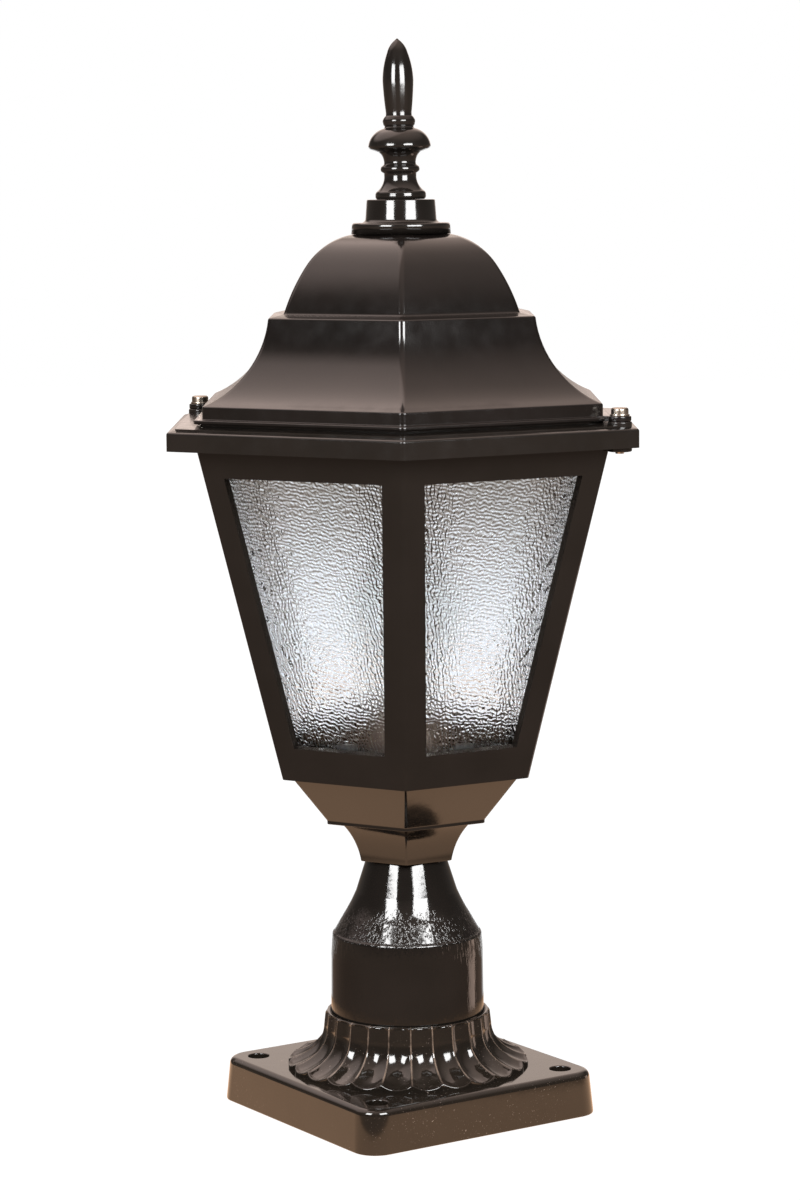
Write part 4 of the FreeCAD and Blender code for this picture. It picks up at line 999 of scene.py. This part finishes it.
def makeSpindle():
    foot, top = lowOf("finial_spindle"), highOf("finial_spindle")
    height = top - foot
    tip = [(spindle["tipRadius"], height - spindle["tip"], spindle["tipBow"]), (0.0, height)]
    outline = curved([(finialBore, 0.0), *spindle["outline"], *tip], 8)
    outline += [Vector((0.0, spindle["boreDepth"])), Vector((finialBore, spindle["boreDepth"]))]
    bm = spun(outline, spindle["sides"], closed=True)
    turn(bm, -spindle["lean"], "Y")
    bmesh.ops.translate(bm, vec=(0, 0, foot), verts=bm.verts)
    return bm


finished(makeFinialCap(), "finialCap", finialPaint, "roof_group", ["finial_cap"])
finished(makeSpindle(), "finialSpindle", finialPaint, "roof_group", ["finial_spindle"])
print("finial made")


# Lamp: clear bulb on its glass stem

bulb = {
    "radius": 27.5, "neckRadius": 13.0, "neck": 6.0, "neckBow": -1.5, "shoulderAngle": 32.0,
    "wall": 0.3, "domeSteps": 26, "sides": 64,
}
stem = {"flareRadius": 8.0, "flare": 10.0, "flareBow": -1.6, "radius": 2.6, "end": 0.8, "endBow": 0.3}


def bulbOutline(inset):
    foot, top = lowOf("lamp_bulb"), highOf("lamp_bulb")
    shoulder = math.radians(bulb["shoulderAngle"])
    centre = top - bulb["radius"]
    radius = bulb["radius"] - inset
    outline = curved([
        (bulb["neckRadius"] - inset, foot + inset),
        (bulb["neckRadius"] - inset, foot + bulb["neck"], bulb["neckBow"]),
        (radius * math.cos(shoulder), centre - radius * math.sin(shoulder)),
    ], 12)
    steps = bulb["domeSteps"]
    for step in range(1, steps + 1):
        angle = -shoulder + (math.pi / 2 + shoulder) * step / steps
        outline.append(Vector((radius * math.cos(angle), centre + radius * math.sin(angle))))
    return outline


def makeBulb():
    # The inner skin's normals point into the hollow, so that the glass has a real thickness
    skins = []
    for inset in (0.0, bulb["wall"]):
        outline = bulbOutline(inset)
        skins.append(spun([Vector((0, outline[0].y))] + outline, bulb["sides"]))
    bmesh.ops.reverse_faces(skins[1], faces=skins[1].faces)
    return joined(*skins)


def makeStem():
    foot, top = lowOf("lamp_stem"), highOf("lamp_stem")
    outline = curved([
        (0.0, foot),
        (stem["flareRadius"], foot, stem["flareBow"]),
        (stem["radius"], foot + stem["flare"]),
        (stem["radius"], top - stem["end"], stem["endBow"]),
        (stem["radius"] - stem["end"], top),
        (0.0, top),
    ], 8)
    return spun(outline, 32)


finished(makeBulb(), "lampBulb", lampGlass, "lamp", ["lamp_bulb"], weighted=False)
finished(makeStem(), "lampStem", lampGlass, "lamp", ["lamp_stem"], weighted=False)
print("lamp made")


# Studio, in metres: pale floor over a warm card, two tall soft boxes in front, a lit board behind the glass,
# a low card at the right, a weak light inside the frame, and a room for the gloss to see

studio = {
    "floor": {"radius": 6.0, "glow": 1.1, "shades": ("FAFAFA", "FFFFFF")},
    "warmCard": {"radius": 0.24, "inner": 0.8, "colour": "FFCFA8", "glow": 1.75, "edgeGlow": 0.4, "drop": 0.0005},
    "cardGrain": 60.0,
    # each soft box: azimuth, width and power
    "boxes": {"softBoxLeft": (-36.0, 0.35, 11.1), "softBoxRight": (32.5, 0.47, 14.9)},
    "boxDistance": 0.78, "boxFoot": 0.43, "boxTop": 0.825, "boxDip": 0.12,
    "fillPlace": (0.0, 0.0, 0.30), "fillPower": 0.35, "fillRadius": 0.03,
    # colours of the room at each sine of the elevation, between the two of bandReach
    "bandReach": (-0.5, 1.0),
    "backdrop": [
        (-0.50, "2A2624"), (-0.27, "6A625C"), (-0.21, "FFFFFF"), (-0.15, "F6FBFF"), (-0.115, "A8A29E"),
        (-0.07, "6E6763"), (0.0, "6E6763"), (0.02, "E6D2C8"), (0.24, "F0DCCF"), (0.5, "F0D8CC"), (0.75, "DCC4B8"),
        (1.0, "CCB4A8"),
    ],
    "sides": [
        (-0.50, "8A7466"), (-0.25, "8A7466"), (-0.12, "8A7869"), (0.06, "78706A"), (0.2, "5A5450"), (0.5, "5A5450"),
        (0.82, "C0AEA4"), (1.0, "F0D4C6"),
    ],
    "front": [
        (-0.50, "A89080"), (-0.1, "A89080"), (0.05, "5A5450"), (0.5, "5A5450"), (0.82, "C0AEA4"), (1.0, "F0D4C6"),
    ],
    "backdropGain": 1.5, "backdropEdge": (0.24, 0.45), "frontEdge": (-0.4, 0.3),
    # direction, cosines where the light begins and is full, colour and strength
    "patches": {
        "highLeft": ((-0.45, 0.28, 0.85), 0.78, 0.9, "FFE8E0", 1.35),
        "overhead": ((0.15, 0.1, 1.0), 0.6, 0.92, "FFE4D8", 0.3),
    },
    "sideCard": {"azimuth": 112.0, "distance": 0.5, "width": 0.15, "low": -0.12, "high": 0.1},
    "sideShades": ("FFDCC8", "FFE0CE"), "sideGlow": 2.2,
    "board": {"azimuth": 0.0, "distance": -0.42, "width": 1.0, "low": -0.02, "high": 0.60},
    "boardGlow": 1.4,
    "boardLevels": [
        (-0.02, "4A423E"), (0.07, "A08A7C"), (0.105, "E0CCBE"), (0.135, "ECEFF8"), (0.17, "E6EAF4"), (0.20, "D2D3DA"),
        (0.23, "A6A2A0"), (0.28, "655E59"), (0.33, "504944"), (0.60, "3C3631"),
    ],
}


def paleBoard(name, shades, glow, reach=(0.3, 0.7)):
    # Matt board of two close shades, lit evenly
    material, tree, place = newMaterial(name)
    colour = mottled(tree, place, studio["cardGrain"], shades, reach=reach)[1]
    return surfaced(material, addNode(tree, "Emission", {"Strength": glow}, {"Color": colour}))


def warmCard(card):
    # Warm light that comes up from the table near the object, fading outwards
    material, tree, place = newMaterial("warmCard")
    out = addNode(tree, "VectorMath", {"operation": "LENGTH"}, {0: place["Vector"]}).outputs["Value"]
    radius = card["radius"]
    glow = addNode(tree, "MapRange", {
        1: card["inner"] * radius, 2: radius, 3: card["glow"], 4: card["edgeGlow"],
    }, {0: out})
    shader = addNode(tree, "Emission", {"Color": linearColour(card["colour"])}, {"Strength": glow})
    return surfaced(material, shader)


def litBoard():
    # The board behind is brightest low down, cool there and warm and dim above
    material, tree, place = newMaterial("litBoard")
    level = addNode(tree, "SeparateXYZ", links=place).outputs["Z"]
    low, high = studio["board"]["low"], studio["board"]["high"]
    stops = [((height - low) / (high - low), colour) for height, colour in studio["boardLevels"]]
    up = addNode(tree, "MapRange", {1: low, 2: high}, {0: level})
    colour = addNode(tree, "ValToRGB", {"stops": stops}, {"Fac": up})
    return surfaced(material, addNode(tree, "Emission", {"Strength": studio["boardGlow"]}, {"Color": colour}))


def hideFrom(thing, *rays):
    for ray in rays:
        setattr(thing, "visible_" + ray, False)


def stagePiece(bm, name, material, *unseenBy):
    piece = objectOf(bm, name)
    piece.data.materials.append(material)
    hideFrom(piece, *unseenBy)


def disc(radius, level=0.0):
    bm = bmesh.new()
    bmesh.ops.create_circle(bm, cap_ends=True, segments=96, radius=radius)
    bmesh.ops.translate(bm, vec=(0, 0, level), verts=bm.verts)
    return bm


def standingCard(card):
    bm = bmesh.new()
    bmesh.ops.create_grid(bm, x_segments=1, y_segments=1, size=0.5)
    bmesh.ops.scale(bm, vec=(card["width"], card["high"] - card["low"], 1.0), verts=bm.verts)
    turn(bm, 90.0, "X")
    bmesh.ops.translate(bm, vec=(0, -card["distance"], (card["low"] + card["high"]) / 2), verts=bm.verts)
    return turn(bm, card["azimuth"])


def makeCards():
    # The camera sees the white floor, and the shine a warm card in its place. Only the glass sees the board
    # behind, and only the paint's shine the card at the right.
    floor, warm = studio["floor"], studio["warmCard"]
    white = paleBoard("whiteBoard", floor["shades"], floor["glow"], reach=(0.0, 1.0))
    side = paleBoard("sideCard", studio["sideShades"], studio["sideGlow"])
    stagePiece(disc(floor["radius"]), "floor", white, "glossy", "transmission", "diffuse")
    stagePiece(disc(warm["radius"], -warm["drop"]), "warmCard", warmCard(warm), "camera", "transmission")
    stagePiece(standingCard(studio["board"]), "litBoard", litBoard(), "camera", "glossy", "diffuse", "shadow")
    stagePiece(standingCard(studio["sideCard"]), "sideCard", side, "camera", "diffuse", "transmission", "shadow")


def makeLight(name, kind, power, place):
    light = bpy.data.objects.new(name, bpy.data.lights.new(name, kind))
    light.data.energy = power
    light.location = place
    bpy.context.scene.collection.objects.link(light)
    return light


def makeLights():
    # Two tall soft boxes stand close in front, one on each side of the camera
    height = studio["boxTop"] - studio["boxFoot"]
    for name, (azimuth, width, power) in studio["boxes"].items():
        place = polar(studio["boxDistance"], azimuth, studio["boxFoot"] + height / 2)
        box = makeLight(name, "AREA", power, place)
        box.data.shape = "RECTANGLE"
        box.data.size = width
        box.data.size_y = height
        inwards = Vector((-place.x, -place.y, -studio["boxDip"]))
        box.rotation_euler = inwards.to_track_quat("-Z", "Y").to_euler()
        hideFrom(box, "camera")
    # Stands for the light that comes in through the panes
    fill = makeLight("fillInside", "POINT", studio["fillPower"], studio["fillPlace"])
    fill.data.shadow_soft_size = studio["fillRadius"]
    hideFrom(fill, "camera", "glossy", "transmission")


def makeRoom():
    # The camera sees plain white; glass and gloss see a room: dark in front, a bright backdrop low behind,
    # a wide soft patch of light high on the left, and a weaker one overhead
    world = bpy.data.worlds.new("studioRoom")
    world.use_nodes = True
    tree = world.node_tree
    tree.nodes.clear()
    direction = addNode(tree, "TexCoord").outputs["Generated"]
    parts = addNode(tree, "SeparateXYZ", links={"Vector": direction}).outputs
    low, high = studio["bandReach"]
    height = addNode(tree, "MapRange", {1: low, 2: high}, {0: parts["Z"]})
    bands = {}
    for name in ("backdrop", "sides", "front"):
        stops = [((level - low) / (high - low), colour) for level, colour in studio[name]]
        bands[name] = addNode(tree, "ValToRGB", {"stops": stops}, {"Fac": height})
    gain = studio["backdropGain"]
    backdrop = addNode(tree, "MixRGB", {
        "blend_type": "MULTIPLY", "Fac": 1.0, "Color2": (gain, gain, gain, 1.0),
    }, {"Color1": bands["backdrop"]})
    sideways = addNode(tree, "Math", {"operation": "ABSOLUTE"}, {0: parts["X"]})
    begins, ends = studio["backdropEdge"]
    aside = addNode(tree, "MapRange", {1: begins, 2: ends}, {0: sideways})
    behind = addNode(tree, "MixRGB", links={"Fac": aside, "Color1": backdrop, "Color2": bands["sides"]})
    begins, ends = studio["frontEdge"]
    depth = addNode(tree, "MapRange", {1: begins, 2: ends}, {0: parts["Y"]})
    glow = addNode(tree, "MixRGB", links={"Fac": depth, "Color1": bands["front"], "Color2": behind})
    for toward, begins, full, colour, strength in studio["patches"].values():
        towards = {"operation": "DOT_PRODUCT", 1: Vector(toward).normalized()}
        cosine = addNode(tree, "VectorMath", towards, {0: direction}).outputs["Value"]
        share = addNode(tree, "MapRange", {1: begins, 2: full, 4: strength}, {0: cosine})
        lit = addNode(tree, "MixRGB", {
            "blend_type": "MULTIPLY", "Fac": 1.0, "Color2": linearColour(colour),
        }, {"Color1": share})
        glow = addNode(tree, "MixRGB", {"blend_type": "ADD", "Fac": 1.0}, {"Color1": glow, "Color2": lit})
    seen = addNode(tree, "LightPath").outputs["Is Camera Ray"]
    whole = addNode(tree, "MixRGB", {"Color2": linearColour("FFFFFF")}, {"Fac": seen, "Color1": glow})
    background = addNode(tree, "Background", {"Strength": 1.0}, {"Color": whole})
    addNode(tree, "OutputWorld", links={"Surface": background})
    bpy.context.scene.world = world


viewpoint = {
    "place": (0.0, -1.6057, 0.4415), "down": 6.9557, "left": 0.0706, "roll": -0.4885, "lens": 102.26, "sensor": 36.0,
}


def makeCamera():
    camera = bpy.data.cameras.new("camera")
    camera.sensor_width = viewpoint["sensor"]
    camera.sensor_fit = "AUTO"
    camera.lens = viewpoint["lens"]
    holder = bpy.data.objects.new("camera", camera)
    turned = Matrix.Rotation(math.radians(viewpoint["left"]), 4, "Z")
    lowered = Matrix.Rotation(math.radians(90.0 - viewpoint["down"]), 4, "X")
    rolled = Matrix.Rotation(math.radians(viewpoint["roll"]), 4, "Z")
    holder.matrix_world = Matrix.Translation(viewpoint["place"]) @ turned @ lowered @ rolled
    bpy.context.scene.collection.objects.link(holder)
    bpy.context.scene.camera = holder


makeCards()
makeLights()
makeRoom()
makeCamera()
bpy.context.scene.view_settings.view_transform = "Standard"
print("studio made")
